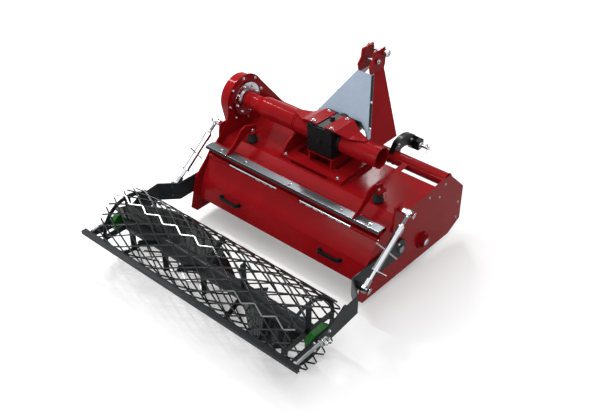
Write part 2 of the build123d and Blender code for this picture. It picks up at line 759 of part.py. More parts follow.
bar_half_length = frame_x + arm_wall + bar_overhang
with BuildPart() as rear_bar:
    with BuildSketch(Plane.YZ.offset(-bar_half_length)):
        line = [(-bar_rear, bar_foot_z), (-bar_rear, bar_top_z), (-bar_rear + bar_flange, bar_top_z)]
        Polygon(*side_points(strip(line, bar_wall)), align=None)
    extrude(amount=2 * bar_half_length)
write(rear_bar, "rear_bar")

# Roller bearings: long housings inside the arms, and hub blocks outside
bearing_net_gap = 6
bearing_depth = roller_side_gap - bearing_net_gap
bearing_outline = [(-88, -30), (-62, -46), (62, -46), (88, -30), (88, 34), (50, 62), (-50, 62), (-88, 34)]
with BuildPart() as roller_bearings:
    for sign in (1, -1):
        with BuildSketch(Plane.YZ.offset(sign * frame_x)):
            Polygon(*side_points([(roller_y + y, roller_z + z) for y, z in bearing_outline]), align=None)
            with Locations(side(roller_y, roller_z)):
                Circle(axle_radius + run_fit, mode=Mode.SUBTRACT)
        extrude(amount=-sign * bearing_depth)
write(roller_bearings, "roller_bearings")

hub_block = 24
hub_width = 52
hub_corner = 10
with BuildPart() as roller_hubs:
    for sign in (1, -1):
        with BuildSketch(Plane.YZ.offset(sign * (frame_x + arm_wall))):
            with Locations(side(roller_y, roller_z)):
                block = Rectangle(hub_width, hub_width)
            chamfer(block.vertices(), hub_corner)
        extrude(amount=sign * hub_block)
write(roller_hubs, "roller_hubs")

# Roller net: flat strands that cross on the corners of a drum with two sides for each opening
net_sides = 2 * net_round
net_corner = 3.5                        # turn of the first corner, degrees
side_reach = roller_radius * cos(pi / net_sides)
side_half = roller_radius * sin(pi / net_sides)
strand_turn = atan2(2 * side_half, net_opening / 2)
crossing_half = strand_width / 2 / sin(strand_turn)
crossing_depth = strand_width / 2 / cos(strand_turn)


def net_strip(first):
    """One side of the drum: a strand that zigzags from corner to corner, axis along Z."""
    reach = int(2 * net_half_length / net_opening) + 1
    crossings = [k for k in range(-reach, reach + 1)]
    upper, lower = [], []
    for k in crossings:
        x = net_start + k * net_opening / 2
        tip = [(x - crossing_half, side_half), (x + crossing_half, side_half)]
        apex = [(x, -side_half + crossing_depth)]
        top = (k % 2 == 0) == first
        upper += tip if top else apex
        lower += [(a, -b) for a, b in (apex if top else tip)]
    with BuildPart() as piece:
        with BuildSketch(Plane(origin=(side_reach + 1, 0, 0), x_dir=(0, 0, 1), z_dir=(1, 0, 0))):
            Polygon(*(upper + lower[::-1]), align=None)
        extrude(amount=-net_wall - 2)
        with BuildSketch(Plane.XY.offset(-net_half_length)):
            outer, inner = side_reach, side_reach - net_wall
            taper = side_half / side_reach
            Polygon(
                (outer, outer * taper), (inner, inner * taper), (inner, -inner * taper), (outer, -outer * taper),
                align=None,
            )
        extrude(amount=2 * net_half_length, mode=Mode.INTERSECT)
    return piece.part


roller_axis = Plane(origin=(0, *side(roller_y, roller_z)), x_dir=(0, 1, 0), z_dir=(1, 0, 0))
side_turn = 360 / net_sides
with BuildPart(roller_axis) as roller_mesh:
    for offset, first in ((0, False), (1, True)):
        with PolarLocations(0, net_round, start_angle=net_corner + (offset + 0.5) * side_turn):
            add(net_strip(first))
write(roller_mesh, "roller_mesh")

# Roller core: tube with axle, end rings on four spokes, and three-armed spiders
ring_height = 25
ring_wall = 8
ring_x = net_half_length - 39
ring_spoke = 40
core_reach = side_reach - net_wall - 0.1
spiders = [(-430, 270), (-90, 30), (250, 90)]        # place along the roller, turn of the first arm
with BuildPart() as roller_core:
    with BuildSketch(Plane.YZ.offset(-ring_x)):
        with Locations(side(roller_y, roller_z)):
            Circle(core_radius)
            Circle(core_radius - core_wall, mode=Mode.SUBTRACT)
    extrude(amount=2 * ring_x)
    for sign in (1, -1):
        with BuildSketch(Plane.YZ.offset(sign * (frame_x - 2))):
            with Locations(side(roller_y, roller_z)):
                Circle(axle_radius)
        extrude(amount=-sign * (frame_x - 2 - ring_x))
    for x in (-ring_x, ring_x - ring_wall):
        with BuildSketch(Plane.YZ.offset(x)):
            with Locations(side(roller_y, roller_z)):
                RegularPolygon(core_reach / cos(pi / net_sides), net_sides, rotation=net_corner)
                RegularPolygon(core_reach / cos(pi / net_sides) - ring_height, net_sides, rotation=net_corner,
                               mode=Mode.SUBTRACT)
                Rectangle(2 * core_reach - ring_height, ring_spoke)
                Rectangle(ring_spoke, 2 * core_reach - ring_height)
                Circle(core_radius)
        extrude(amount=ring_wall)
    for x, turn in spiders:
        with BuildSketch(Plane(origin=(x, *side(roller_y, roller_z)), x_dir=(0, 1, 0), z_dir=(1, 0, 0))):
            with PolarLocations(0, 3, start_angle=turn):
                arm = [(core_radius - core_wall, -ring_spoke / 2), (core_reach - 2, -ring_spoke / 2)]
                Polygon(*(arm + [(x, -y) for x, y in arm[::-1]]), align=None)
            Circle(core_radius - core_wall, mode=Mode.SUBTRACT)
        extrude(amount=ring_wall)
write(roller_core, "roller_core")

# Turnbuckles: a six-sided barrel with the upper eye, and a rod with the lower eye
buckle_run = hypot(buckle_foot_y - buckle_top_y, buckle_foot_z - buckle_top_z)
buckle_dir = (0, (buckle_foot_y - buckle_top_y) / buckle_run, (buckle_foot_z - buckle_top_z) / buckle_run)
barrel_start = 143
barrel_end = 367
barrel_radius = 19
barrel_bore = 40            # start of the bore inside the barrel
nut_radius = 23
upper_nut = 48
lower_nut = 14
rod_radius = 10
rod_start = 240
eye_seat = 4                # how far the rods reach into their eyes
neck_reach = 61             # flat neck of the lower eye
neck_half = 15
for name, sign in (("right", 1), ("left", -1)):
    top = (sign * buckle_x, *side(buckle_top_y, buckle_top_z))
    foot = (sign * buckle_x, *side(buckle_foot_y, buckle_foot_z))
    with BuildPart() as barrel:
        along = Plane(origin=top, z_dir=buckle_dir)
        for start, end, radius in (
            (barrel_start - upper_nut, barrel_start, nut_radius), (barrel_start, barrel_end, barrel_radius),
            (barrel_end, barrel_end + lower_nut, nut_radius),
        ):
            with BuildSketch(along.offset(start)):
                RegularPolygon(radius, 6)
            extrude(amount=end - start)
        with BuildSketch(along.offset(eye_radius - eye_seat)):
            Circle(rod_radius)
        extrude(amount=barrel_start - upper_nut - eye_radius + eye_seat)
        with BuildSketch(along.offset(barrel_start + barrel_bore)):
            Circle(rod_radius + run_fit)
        extrude(amount=barrel_end, mode=Mode.SUBTRACT)
        with BuildSketch(Plane.YZ.offset(top[0] - eye_width / 2)):
            with Locations((top[1], top[2])):
                RegularPolygon(eye_radius, 8)
        extrude(amount=eye_width)
        with BuildSketch(Plane.YZ.offset(top[0] - eye_width)):
            with Locations((top[1], top[2])):
                Circle(buckle_pin_radius + run_fit)
        extrude(amount=2 * eye_width, mode=Mode.SUBTRACT)
    write(barrel, f"buckle_barrel_{name}")
    with BuildPart() as rod:
        with BuildSketch(along.offset(rod_start)):
            Circle(rod_radius)
        extrude(amount=buckle_run - rod_start - neck_reach)
        with BuildSketch(along.offset(buckle_run - neck_reach)):
            Rectangle(2 * neck_half, eye_width)
        extrude(amount=neck_reach)
        with BuildSketch(Plane.YZ.offset(foot[0] - eye_width / 2)):
            with Locations((foot[1], foot[2])):
                RegularPolygon(eye_radius + buckle_drift, 8)
        extrude(amount=eye_width)
        with BuildSketch(Plane.YZ.offset(foot[0] - eye_width)):
            with Locations((foot[1], foot[2])):
                Circle(buckle_pin_radius + buckle_drift)
        extrude(amount=2 * eye_width, mode=Mode.SUBTRACT)
    write(rod, f"buckle_rod_{name}")
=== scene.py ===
import bmesh
import bpy
import json
from math import atan2, copysign, cos, hypot, pi, radians, sin
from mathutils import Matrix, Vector


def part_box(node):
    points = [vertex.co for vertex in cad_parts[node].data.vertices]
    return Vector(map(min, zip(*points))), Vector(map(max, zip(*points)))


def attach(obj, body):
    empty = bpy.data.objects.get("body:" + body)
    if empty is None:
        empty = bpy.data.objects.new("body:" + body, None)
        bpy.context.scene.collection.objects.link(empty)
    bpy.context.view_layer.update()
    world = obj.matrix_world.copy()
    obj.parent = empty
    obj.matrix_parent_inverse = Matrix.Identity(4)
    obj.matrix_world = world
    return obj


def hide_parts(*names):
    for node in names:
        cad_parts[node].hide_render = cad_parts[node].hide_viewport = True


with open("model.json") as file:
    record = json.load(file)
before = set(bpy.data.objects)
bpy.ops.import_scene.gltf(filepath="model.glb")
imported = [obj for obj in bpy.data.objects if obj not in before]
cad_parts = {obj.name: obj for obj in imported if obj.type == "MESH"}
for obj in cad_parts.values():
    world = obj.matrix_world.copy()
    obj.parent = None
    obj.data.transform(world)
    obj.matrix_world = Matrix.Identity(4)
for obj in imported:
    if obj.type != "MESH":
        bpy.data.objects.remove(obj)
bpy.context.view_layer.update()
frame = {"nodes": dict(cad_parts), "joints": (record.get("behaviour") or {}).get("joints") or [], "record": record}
print("stage: frame loaded,", len(frame["nodes"]), "nodes")

mm = 0.001
sunk = 0.2  # how far small parts stand in the piece they sit on, in millimetres
joints = {j["name"]: j for j in frame["joints"]}
rotorY = joints["rotor_spin"]["pos_m"][1]
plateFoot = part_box("side_plate_right")[0].z


def place(x, y, z):
    # Side-view millimetres (y from the rotor axis, z from the plates' lower edge) as a point in metres
    return Vector((x * mm, rotorY + y * mm, plateFoot + z * mm))


right = Vector((1, 0, 0))
forward = Vector((0, 1, 0))
up = Vector((0, 0, 1))


# Shared shader effects, each built once

def newGroup(name, inputs, outputs):
    group = bpy.data.node_groups.new(name, "ShaderNodeTree")
    for label, kind, value in inputs:
        socket = group.interface.new_socket(label, in_out="INPUT", socket_type=kind)
        if value is not None:
            socket.default_value = value
    for label, kind in outputs:
        group.interface.new_socket(label, in_out="OUTPUT", socket_type=kind)
    start = group.nodes.new("NodeGroupInput")
    end = group.nodes.new("NodeGroupOutput")
    return group, start, end


def addNode(tree, kind, links=(), **settings):
    # A node with its settings, and its inputs either linked to sockets or set to values
    node = tree.nodes.new(kind)
    for key, value in settings.items():
        setattr(node, key, value)
    for slotKey, source in dict(links).items():
        socket = node.inputs[slotKey]
        if isinstance(source, bpy.types.NodeSocket):
            tree.links.new(source, socket)
        else:
            socket.default_value = source
    return node


def maths(tree, operation, first, second, **settings):
    node = addNode(tree, "ShaderNodeMath", {0: first, 1: second}, operation=operation, **settings)
    return node.outputs[0]


def ramp(tree, source, start, end, low=0.0, high=1.0, **settings):
    node = addNode(tree, "ShaderNodeMapRange", {0: source, 1: start, 2: end, 3: low, 4: high}, **settings)
    return node.outputs[0]


def noise(tree, spot, scale, **settings):
    return addNode(tree, "ShaderNodeTexNoise", {"Vector": spot, "Scale": scale, **settings}).outputs["Fac"]


def buildEdgeWearAndGlint():
    # Rounded shading of sharp edges, and a mask along them broken by noise: where paint has rubbed off, and on the
    # red paint a painted highlight
    group, start, end = newGroup(
        "edgeWearAndGlint",
        [("Vector", "NodeSocketVector", None), ("Radius", "NodeSocketFloat", 0.002),
         ("Amount", "NodeSocketFloat", 0.3), ("Chip Scale", "NodeSocketFloat", 60.0)],
        [("Normal", "NodeSocketVector"), ("Mask", "NodeSocketFloat")],
    )
    given = start.outputs
    bevel = addNode(group, "ShaderNodeBevel", {"Radius": given["Radius"]}, samples=6)
    shape = addNode(group, "ShaderNodeNewGeometry")
    turn = addNode(group, "ShaderNodeVectorMath", {0: bevel.outputs[0], 1: shape.outputs["True Normal"]},
                   operation="DOT_PRODUCT")
    edge = ramp(group, turn.outputs["Value"], 0.99, 0.8)
    edgeBreakup = ramp(group, noise(group, given["Vector"], given["Chip Scale"], Detail=5.0), 0.52, 0.62)
    both = maths(group, "MULTIPLY", edge, edgeBreakup)
    mask = maths(group, "MULTIPLY", both, given["Amount"], use_clamp=True)
    group.links.new(bevel.outputs[0], end.inputs["Normal"])
    group.links.new(mask, end.inputs["Mask"])
    return group


def buildGrain():
    # Fine height of a coating, and broad soft blotches in its gloss
    group, start, end = newGroup(
        "surfaceGrain",
        [("Vector", "NodeSocketVector", None), ("Fine Scale", "NodeSocketFloat", 400.0),
         ("Blotch Scale", "NodeSocketFloat", 6.0)],
        [("Height", "NodeSocketFloat"), ("Blotch", "NodeSocketFloat")],
    )
    given = start.outputs
    fine = noise(group, given["Vector"], given["Fine Scale"], Detail=3.0)
    broad = noise(group, given["Vector"], given["Blotch Scale"], Detail=6.0, Roughness=0.6)
    group.links.new(fine, end.inputs["Height"])
    group.links.new(ramp(group, broad, 0.35, 0.68), end.inputs["Blotch"])
    return group


def buildDust():
    # A thin film of dust on what faces up, broken by noise
    group, start, end = newGroup(
        "dustFilm",
        [("Vector", "NodeSocketVector", None), ("Amount", "NodeSocketFloat", 0.1)],
        [("Mask", "NodeSocketFloat")],
    )
    shape = addNode(group, "ShaderNodeNewGeometry")
    split = addNode(group, "ShaderNodeSeparateXYZ", {0: shape.outputs["Normal"]})
    facing = ramp(group, split.outputs["Z"], 0.1, 1.0, 0.15)
    patches = ramp(group, noise(group, start.outputs["Vector"], 14.0, Detail=8.0, Roughness=0.7), 0.4, 0.75)
    both = maths(group, "MULTIPLY", facing, patches)
    mask = maths(group, "MULTIPLY", both, start.outputs["Amount"], use_clamp=True)
    group.links.new(mask, end.inputs["Mask"])
    return group


edgeWearAndGlint = buildEdgeWearAndGlint()
surfaceGrain = buildGrain()
dustFilm = buildDust()


# Finishes: colours are linear
looks = {
    # The red paint's pinkish edge colour is a painted highlight along its edges and folds, broken by noise
    "red_paint": dict(color=(0.262, 0.0053, 0.0081), deep=(0.22, 0.0041, 0.0066), rough=(0.13, 0.19),
                      coat=0.035, specular=0.035, fine=520, fineHeight=0.00001, edge=0.0026, wearAndGlint=0.3,
                      wornAndGlint=(0.6, 0.16, 0.16), dust=0.004),
    # The zinc's outline colour is a painted dark reflection towards the outlines of round parts
    "zinc_plate": dict(color=(0.80, 0.82, 0.85), deep=(0.74, 0.76, 0.80), rough=(0.12, 0.16), metallic=1.0,
                       paintedRimReflection=(0.10, 0.11, 0.115), fine=900, fineHeight=0.000001, edge=0.0012, wearAndGlint=0.2,
                       wornAndGlint=(0.8, 0.8, 0.82), dust=0.015),
    "black_paint": dict(color=(0.006, 0.006, 0.007), deep=(0.004, 0.004, 0.005), rough=(0.3, 0.4), coat=0.03,
                        specular=0.12, fine=600, fineHeight=0.00003, edge=0.0016, wearAndGlint=0.2,
                        wornAndGlint=(0.04, 0.04, 0.045), dust=0.008),
    "anthracite_paint": dict(color=(0.017, 0.0195, 0.022), deep=(0.011, 0.013, 0.015), rough=(0.3, 0.4),
                             coat=0.03, specular=0.08, fine=600, fineHeight=0.00002, edge=0.0012, wearAndGlint=0.25,
                             wornAndGlint=(0.06, 0.065, 0.07), dust=0.008),
    "galvanised_sheet": dict(color=(0.27, 0.33, 0.41), deep=(0.255, 0.31, 0.385), rough=(0.3, 0.36),
                             metallic=0.5, fine=300, fineHeight=0.00001, edge=0.001, wearAndGlint=0.1,
                             wornAndGlint=(0.5, 0.53, 0.58), dust=0.006, spangle=55),
    "rubber": dict(color=(0.010, 0.010, 0.010), deep=(0.007, 0.007, 0.007), rough=(0.55, 0.7), fine=700,
                   specular=0.25, fineHeight=0.00006, edge=0.002, wearAndGlint=0.05,
                   wornAndGlint=(0.03, 0.03, 0.03), dust=0.02),
    "green_paint": dict(color=(0.006, 0.12, 0.010), deep=(0.004, 0.08, 0.007), rough=(0.22, 0.32), coat=0.2,
                        specular=0.15, fine=520, fineHeight=0.00002, edge=0.002, wearAndGlint=0.2,
                        wornAndGlint=(0.08, 0.22, 0.08), dust=0.01),
    "bare_steel": dict(color=(0.36, 0.36, 0.37), deep=(0.24, 0.24, 0.25), rough=(0.3, 0.44), metallic=1.0,
                       fine=800, fineHeight=0.00003, edge=0.0008, wearAndGlint=0.2, wornAndGlint=(0.7, 0.7, 0.7), dust=0.015),
    "blade_steel": dict(color=(0.12, 0.12, 0.125), deep=(0.07, 0.07, 0.075), rough=(0.36, 0.55), metallic=0.8,
                        fine=350, fineHeight=0.0001, edge=0.0015, wearAndGlint=0.8, wornAndGlint=(0.5, 0.5, 0.5), dust=0.04),
    "netPaint": dict(color=(0.006, 0.007, 0.008), deep=(0.004, 0.005, 0.006), rough=(0.13, 0.17), coat=0.25,
                     specular=0.2, fine=600, fineHeight=0.00001, edge=0.0008, wearAndGlint=0.3,
                     wornAndGlint=(0.05, 0.055, 0.06), dust=0.008),
    "slatSteel": dict(color=(0.15, 0.16, 0.175), deep=(0.13, 0.14, 0.15), rough=(0.3, 0.36), metallic=0.9,
                      fine=700, fineHeight=0.00001, edge=0.0016, wearAndGlint=0.6, wornAndGlint=(0.7, 0.7, 0.72), dust=0.015),
}
dustColor = (0.36, 0.33, 0.29)
coatRough = 0.06

# Pieces whose look differs from that of their slot
ownFinish = {"roller_mesh": "netPaint", "rollerWinding": "netPaint", "comb_slat": "slatSteel"}


def blend(tree, factor, base, color):
    # A colour socket mixed towards a colour
    mix = addNode(tree, "ShaderNodeMix", {"Factor": factor}, data_type="RGBA")
    tree.links.new(base, mix.inputs[6])
    mix.inputs[7].default_value = (*color, 1)
    return mix.outputs[2]


def buildFinish(name, look):
    material = bpy.data.materials.new(name)
    material.use_nodes = True
    tree = material.node_tree
    surface = tree.nodes["Principled BSDF"]
    spot = addNode(tree, "ShaderNodeTexCoord").outputs["Object"]
    grain = addNode(tree, "ShaderNodeGroup", node_tree=surfaceGrain)
    wearAndGlint = addNode(tree, "ShaderNodeGroup", node_tree=edgeWearAndGlint)
    dust = addNode(tree, "ShaderNodeGroup", node_tree=dustFilm)
    for node in (grain, wearAndGlint, dust):
        tree.links.new(spot, node.inputs["Vector"])
    grain.inputs["Fine Scale"].default_value = look["fine"]
    wearAndGlint.inputs["Radius"].default_value = look["edge"]
    wearAndGlint.inputs["Amount"].default_value = look["wearAndGlint"]
    dust.inputs["Amount"].default_value = look["dust"]
    shade = grain.outputs["Blotch"]
    if "spangle" in look:
        cells = addNode(tree, "ShaderNodeTexVoronoi", {"Vector": spot, "Scale": look["spangle"]})
        toned = addNode(tree, "ShaderNodeSeparateColor", {0: cells.outputs["Color"]})
        shade = toned.outputs[0]
    tone = addNode(tree, "ShaderNodeMix", {"Factor": shade}, data_type="RGBA")
    tone.inputs[6].default_value = (*look["color"], 1)
    tone.inputs[7].default_value = (*look["deep"], 1)
    # Edge colour: rubbed-off paint, and on the red paint a painted highlight
    shaded = blend(tree, wearAndGlint.outputs["Mask"], tone.outputs[2], look["wornAndGlint"])
    shaded = blend(tree, dust.outputs["Mask"], shaded, dustColor)
    if "paintedRimReflection" in look:
        # Painted reflection: round bright parts go dark towards their outline, standing in for the darker things
        # they mirror
        turn = addNode(tree, "ShaderNodeLayerWeight", {"Blend": 0.5})
        shaded = blend(tree, ramp(tree, turn.outputs["Facing"], 0.12, 0.62), shaded, look["paintedRimReflection"])
    bump = addNode(tree, "ShaderNodeBump", {"Height": grain.outputs["Height"], "Distance": look["fineHeight"],
                                            "Normal": wearAndGlint.outputs["Normal"]})
    tree.links.new(shaded, surface.inputs["Base Color"])
    tree.links.new(ramp(tree, grain.outputs["Blotch"], 0.0, 1.0, *look["rough"]), surface.inputs["Roughness"])
    tree.links.new(bump.outputs[0], surface.inputs["Normal"])
    surface.inputs["Metallic"].default_value = look.get("metallic", 0.0)
    surface.inputs["Specular IOR Level"].default_value = look.get("specular", 0.5)
    surface.inputs["Coat Weight"].default_value = look.get("coat", 0.0)
    surface.inputs["Coat Roughness"].default_value = coatRough
    return material


finishes = {name: buildFinish(name, look) for name, look in looks.items()}
for part in frame["record"]["subparts"]:
    node = frame["nodes"][part["node"]]
    node.data.materials.clear()
    node.data.materials.append(finishes[ownFinish.get(part["node"], part["material_slot"])])
print("stage: finishes")


def addObject(name, data):
    item = bpy.data.objects.new(name, data)
    bpy.context.scene.collection.objects.link(item)
    return item


def crossAxes(axis):
    # Two directions square to an axis
    axis = axis.normalized()
    first = axis.cross(up if abs(axis.z) < 0.9 else forward).normalized()
    return first, axis.cross(first).normalized()


def spoke(first, second, angle, radius):
    # The way from an axis out to a point round it, with the radius in millimetres
    return (first * cos(angle) + second * sin(angle)) * radius * mm


# Shapes: each is a list of points and a list of faces


def turned(profile, origin, axis, facets=32):
    # A profile of (radius, height) in millimetres turned about an axis. Ends on the axis are closed.
    first, second = crossAxes(axis)
    axis = axis.normalized()
    points, rings = [], []
    for radius, height in profile:
        base = origin + axis * height * mm
        if radius == 0:
            rings.append([len(points)])
            points.append(base)
            continue
        rings.append([len(points) + k for k in range(facets)])
        for k in range(facets):
            points.append(base + spoke(first, second, 2 * pi * k / facets, radius))
    faces = []
    for a, b in zip(rings, rings[1:]):
        for k in range(facets):
            n = (k + 1) % facets
            face = [a[k % len(a)], a[n % len(a)], b[n % len(b)], b[k % len(b)]]
            faces.append(list(dict.fromkeys(face)))
    return points, faces


def swept(path, radius, facets=10, closed=False):
    # A round wire of a radius in millimetres along points in metres
    count = len(path)
    points, faces = [], []
    last = None
    for i, spot in enumerate(path):
        before = path[i - 1] if closed or i > 0 else path[0]
        after = path[(i + 1) % count] if closed or i < count - 1 else path[-1]
        along = (after - before).normalized()
        if last is None:
            first = crossAxes(along)[0]
        else:
            first = (last - along * last.dot(along)).normalized()
        last = first
        second = along.cross(first)
        for k in range(facets):
            points.append(spot + spoke(first, second, 2 * pi * k / facets, radius))
    for i in range(count if closed else count - 1):
        a, b = i * facets, ((i + 1) % count) * facets
        for k in range(facets):
            n = (k + 1) % facets
            faces.append([a + k, a + n, b + n, b + k])
    if not closed:
        faces.append([k for k in range(facets)])
        faces.append([(count - 1) * facets + k for k in range(facets)][::-1])
    return points, faces


def makePiece(name, shapes, body, slotName):
    # One mesh from several shapes, with its faces outwards, riding on a body
    mesh = bpy.data.meshes.new(name)
    points, faces = [], []
    for shapePoints, shapeFaces in shapes:
        base = len(points)
        points += shapePoints
        faces += [[base + k for k in face] for face in shapeFaces]
    mesh.from_pydata([tuple(p) for p in points], [], faces)
    work = bmesh.new()
    work.from_mesh(mesh)
    bmesh.ops.remove_doubles(work, verts=work.verts, dist=1e-6)
    bmesh.ops.recalc_face_normals(work, faces=work.faces)
    work.to_mesh(mesh)
    work.free()
    piece = addObject(name, mesh)
    mesh.materials.append(finishes[ownFinish.get(name, slotName)])
    mesh.polygons.foreach_set("use_smooth", [True] * len(mesh.polygons))
    mesh.set_sharp_from_angle(angle=radians(35))
    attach(piece, body)
    return piece


# Hex bolts and nuts: one Geometry Nodes tree sets a head with its washer on every marked place

def buildBoltTree():
    tree = bpy.data.node_groups.new("hexBolts", "GeometryNodeTree")
    for label, kind, value in (("Geometry", "NodeSocketGeometry", None),
                               ("Head Height", "NodeSocketFloat", 0.62),
                               ("Washer Radius", "NodeSocketFloat", 1.3),
                               ("Stud Height", "NodeSocketFloat", 0.0),
                               ("Material", "NodeSocketMaterial", None)):
        socket = tree.interface.new_socket(label, in_out="INPUT", socket_type=kind)
        if value is not None:
            socket.default_value = value
    tree.interface.new_socket("Geometry", in_out="OUTPUT", socket_type="NodeSocketGeometry")
    start = addNode(tree, "NodeGroupInput")
    end = addNode(tree, "NodeGroupOutput")
    washerWall = 0.2
    chamfer = 0.1
    washer = addNode(tree, "GeometryNodeMeshCylinder", {
        "Vertices": 24, "Radius": start.outputs["Washer Radius"], "Depth": washerWall})
    head = addNode(tree, "GeometryNodeMeshCylinder", {"Vertices": 6, "Radius": 1.0,
                                                      "Depth": start.outputs["Head Height"]})
    crown = addNode(tree, "GeometryNodeMeshCone", {"Vertices": 6, "Radius Top": 0.86, "Radius Bottom": 1.0,
                                                   "Depth": chamfer})
    stud = addNode(tree, "GeometryNodeMeshCone", {"Vertices": 16, "Radius Top": 0.46, "Radius Bottom": 0.54,
                                                  "Depth": start.outputs["Stud Height"]})
    half = maths(tree, "MULTIPLY", start.outputs["Head Height"], 0.5)
    headMiddle = maths(tree, "ADD", half, washerWall)
    headTop = maths(tree, "ADD", start.outputs["Head Height"], washerWall)
    crownTop = maths(tree, "ADD", headTop, chamfer)
    moved = []
    for shape, height in ((washer, washerWall / 2), (head, headMiddle), (crown, headTop), (stud, crownTop)):
        lift = addNode(tree, "ShaderNodeCombineXYZ", {"Z": height})
        moved.append(addNode(tree, "GeometryNodeTransform", {"Geometry": shape.outputs["Mesh"],
                                                             "Translation": lift.outputs[0]}))
    joined = addNode(tree, "GeometryNodeJoinGeometry")
    for shape in moved:
        tree.links.new(shape.outputs[0], joined.inputs[0])
    points = addNode(tree, "GeometryNodeMeshToPoints", {"Mesh": start.outputs["Geometry"]})
    facing = addNode(tree, "GeometryNodeInputNamedAttribute", {"Name": "facing"}, data_type="FLOAT_VECTOR")
    size = addNode(tree, "GeometryNodeInputNamedAttribute", {"Name": "size"}, data_type="FLOAT")
    turn = addNode(tree, "FunctionNodeAlignRotationToVector", {"Vector": facing.outputs["Attribute"]},
                   axis="Z")
    placed = addNode(tree, "GeometryNodeInstanceOnPoints", {
        "Points": points.outputs[0], "Instance": joined.outputs[0], "Rotation": turn.outputs[0],
        "Scale": size.outputs["Attribute"]})
    solid = addNode(tree, "GeometryNodeRealizeInstances", {"Geometry": placed.outputs[0]})
    finished = addNode(tree, "GeometryNodeSetMaterial", {"Geometry": solid.outputs[0],
                                                         "Material": start.outputs["Material"]})
    tree.links.new(finished.outputs[0], end.inputs[0])
    return tree


boltTree = buildBoltTree()


def inputKey(tree, label):
    # The identifier of a tree's input, which is how a modifier names it
    return next(item.identifier for item in tree.interface.items_tree
                if item.item_type == "SOCKET" and item.in_out == "INPUT" and item.name == label)


def makeBolts(name, rows, body, slotName, **settings):
    # Bolts on rows of (point, facing, size), where size is the radius over the corners in millimetres
    mesh = bpy.data.meshes.new(name + "Places")
    mesh.from_pydata([tuple(spot) for spot, _, _ in rows], [], [])
    mesh.attributes.new("facing", "FLOAT_VECTOR", "POINT")
    mesh.attributes.new("size", "FLOAT", "POINT")
    for i, (_, direction, radius) in enumerate(rows):
        mesh.attributes["facing"].data[i].vector = direction
        mesh.attributes["size"].data[i].value = radius * mm
    source = addObject(name + "Places", mesh)
    modifier = source.modifiers.new("bolts", "NODES")
    modifier.node_group = boltTree
    for label, value in {**settings, "Material": finishes[slotName]}.items():
        modifier[inputKey(boltTree, label)] = value
    ready = source.evaluated_get(bpy.context.evaluated_depsgraph_get())
    result = bpy.data.meshes.new_from_object(ready)
    bpy.data.objects.remove(source)
    piece = addObject(name, result)
    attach(piece, body)


def boltRing(centre, axis, radius, count, size, start=0.0):
    first, second = crossAxes(axis)
    rows = []
    for k in range(count):
        rows.append((centre + spoke(first, second, radians(start) + 2 * pi * k / count, radius), axis, size))
    return rows


def slab(outline, depth):
    # A flat outline carried along a vector and closed at both ends
    count = len(outline)
    points = list(outline) + [spot + depth for spot in outline]
    faces = [list(range(count))[::-1], list(range(count, 2 * count))]
    faces += [[k, (k + 1) % count, count + (k + 1) % count, count + k] for k in range(count)]
    return points, faces


def ringPath(centre, first, second, radius, steps=24):
    return [centre + spoke(first, second, 2 * pi * k / steps, radius) for k in range(steps)]


def tubeProfile(inner, outer, length):
    return [(inner, 0), (outer, 0), (outer, length), (inner, length), (inner, 0)]


def nutProfile(bore, corner):
    face, chamfer, depth = 17, 2, 13
    return [(bore, 0), (face, 0), (corner, chamfer), (corner, depth - chamfer), (face, depth), (bore, depth),
            (bore, 0)]


def threadRidges(root, crest, pitch, length):
    ridges = []
    for k in range(int(length / pitch)):
        ridges += [(root, k * pitch), (crest, (k + 0.5) * pitch)]
    return ridges + [(root, length)]


def weldBead(path, radius, closed=False):
    # A rippled bead of weld along corner points
    ripple, facets, thick, thin = 11, 6, 1.12, 0.86
    points = []
    corners = list(path) + ([path[0]] if closed else [])
    for a, b in zip(corners, corners[1:]):
        steps = max(1, int((b - a).length / (ripple * mm)))
        points += [a.lerp(b, k / steps) for k in range(steps)]
    if not closed:
        points.append(corners[-1])
    shape, faces = swept(points, radius, facets, closed)
    for i, middle in enumerate(points):
        for k in range(i * facets, (i + 1) * facets):
            shape[k] = middle + (shape[k] - middle) * (thick if i % 2 else thin)
    return shape, faces


keeper = dict(shank=4.2, head=6.5, length=47, below=17, ringRadius=21, ringWire=1.7, ringOut=8, ringDrop=12,
              lean=(0.96, 0.28))


def lynchPin(hole, along, across):
    # A lynch pin through the end of a bigger pin, with its sprung ring hung over that end
    shank, head, length = keeper["shank"], keeper["head"], keeper["length"]
    profile = [(0, 0), (shank * 0.6, 1), (shank, 5), (shank, length - 11), (head, length - 10),
               (head, length - 2), (head - 2, length), (0, length)]
    centre = hole + along * keeper["ringOut"] * mm - across * keeper["ringDrop"] * mm
    lean = (across * keeper["lean"][0] + along * keeper["lean"][1]).normalized()
    ring = ringPath(centre, lean, along.cross(across).normalized(), keeper["ringRadius"], steps=30)
    return [turned(profile, hole - across * keeper["below"] * mm, across, facets=14),
            swept(ring, keeper["ringWire"], facets=8, closed=True)]


sides = (("Right", 1), ("Left", -1))

# Places that the fixed frame gives, in side-view millimetres
halfWidth = 700
rotorZ = 122
driveY, driveZ = -92, 645
boxX = 30
boxLow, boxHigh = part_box("gearbox")
coverLow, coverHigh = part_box("gearbox_cover")
hood = dict(back=-262, z=440, rise=0.0434, footWall=34)
guard = dict(top=950, half=50, flare=0.5833, y=230, slope=0.81)
turnbuckle = dict(x=775, top=(-289, 521), foot=(-676, 213), pinEnd=807)
mastPins = dict(top=(350, 1059), stay=(287, 1020))
combX = 510


def hoodHeight(y):
    return hood["z"] + (y - hood["back"]) * hood["rise"]


def guardHalf(z):
    return guard["half"] + guard["flare"] * (guard["top"] - z)


def guardY(z):
    return guard["y"] - guard["slope"] * (guard["top"] - z)


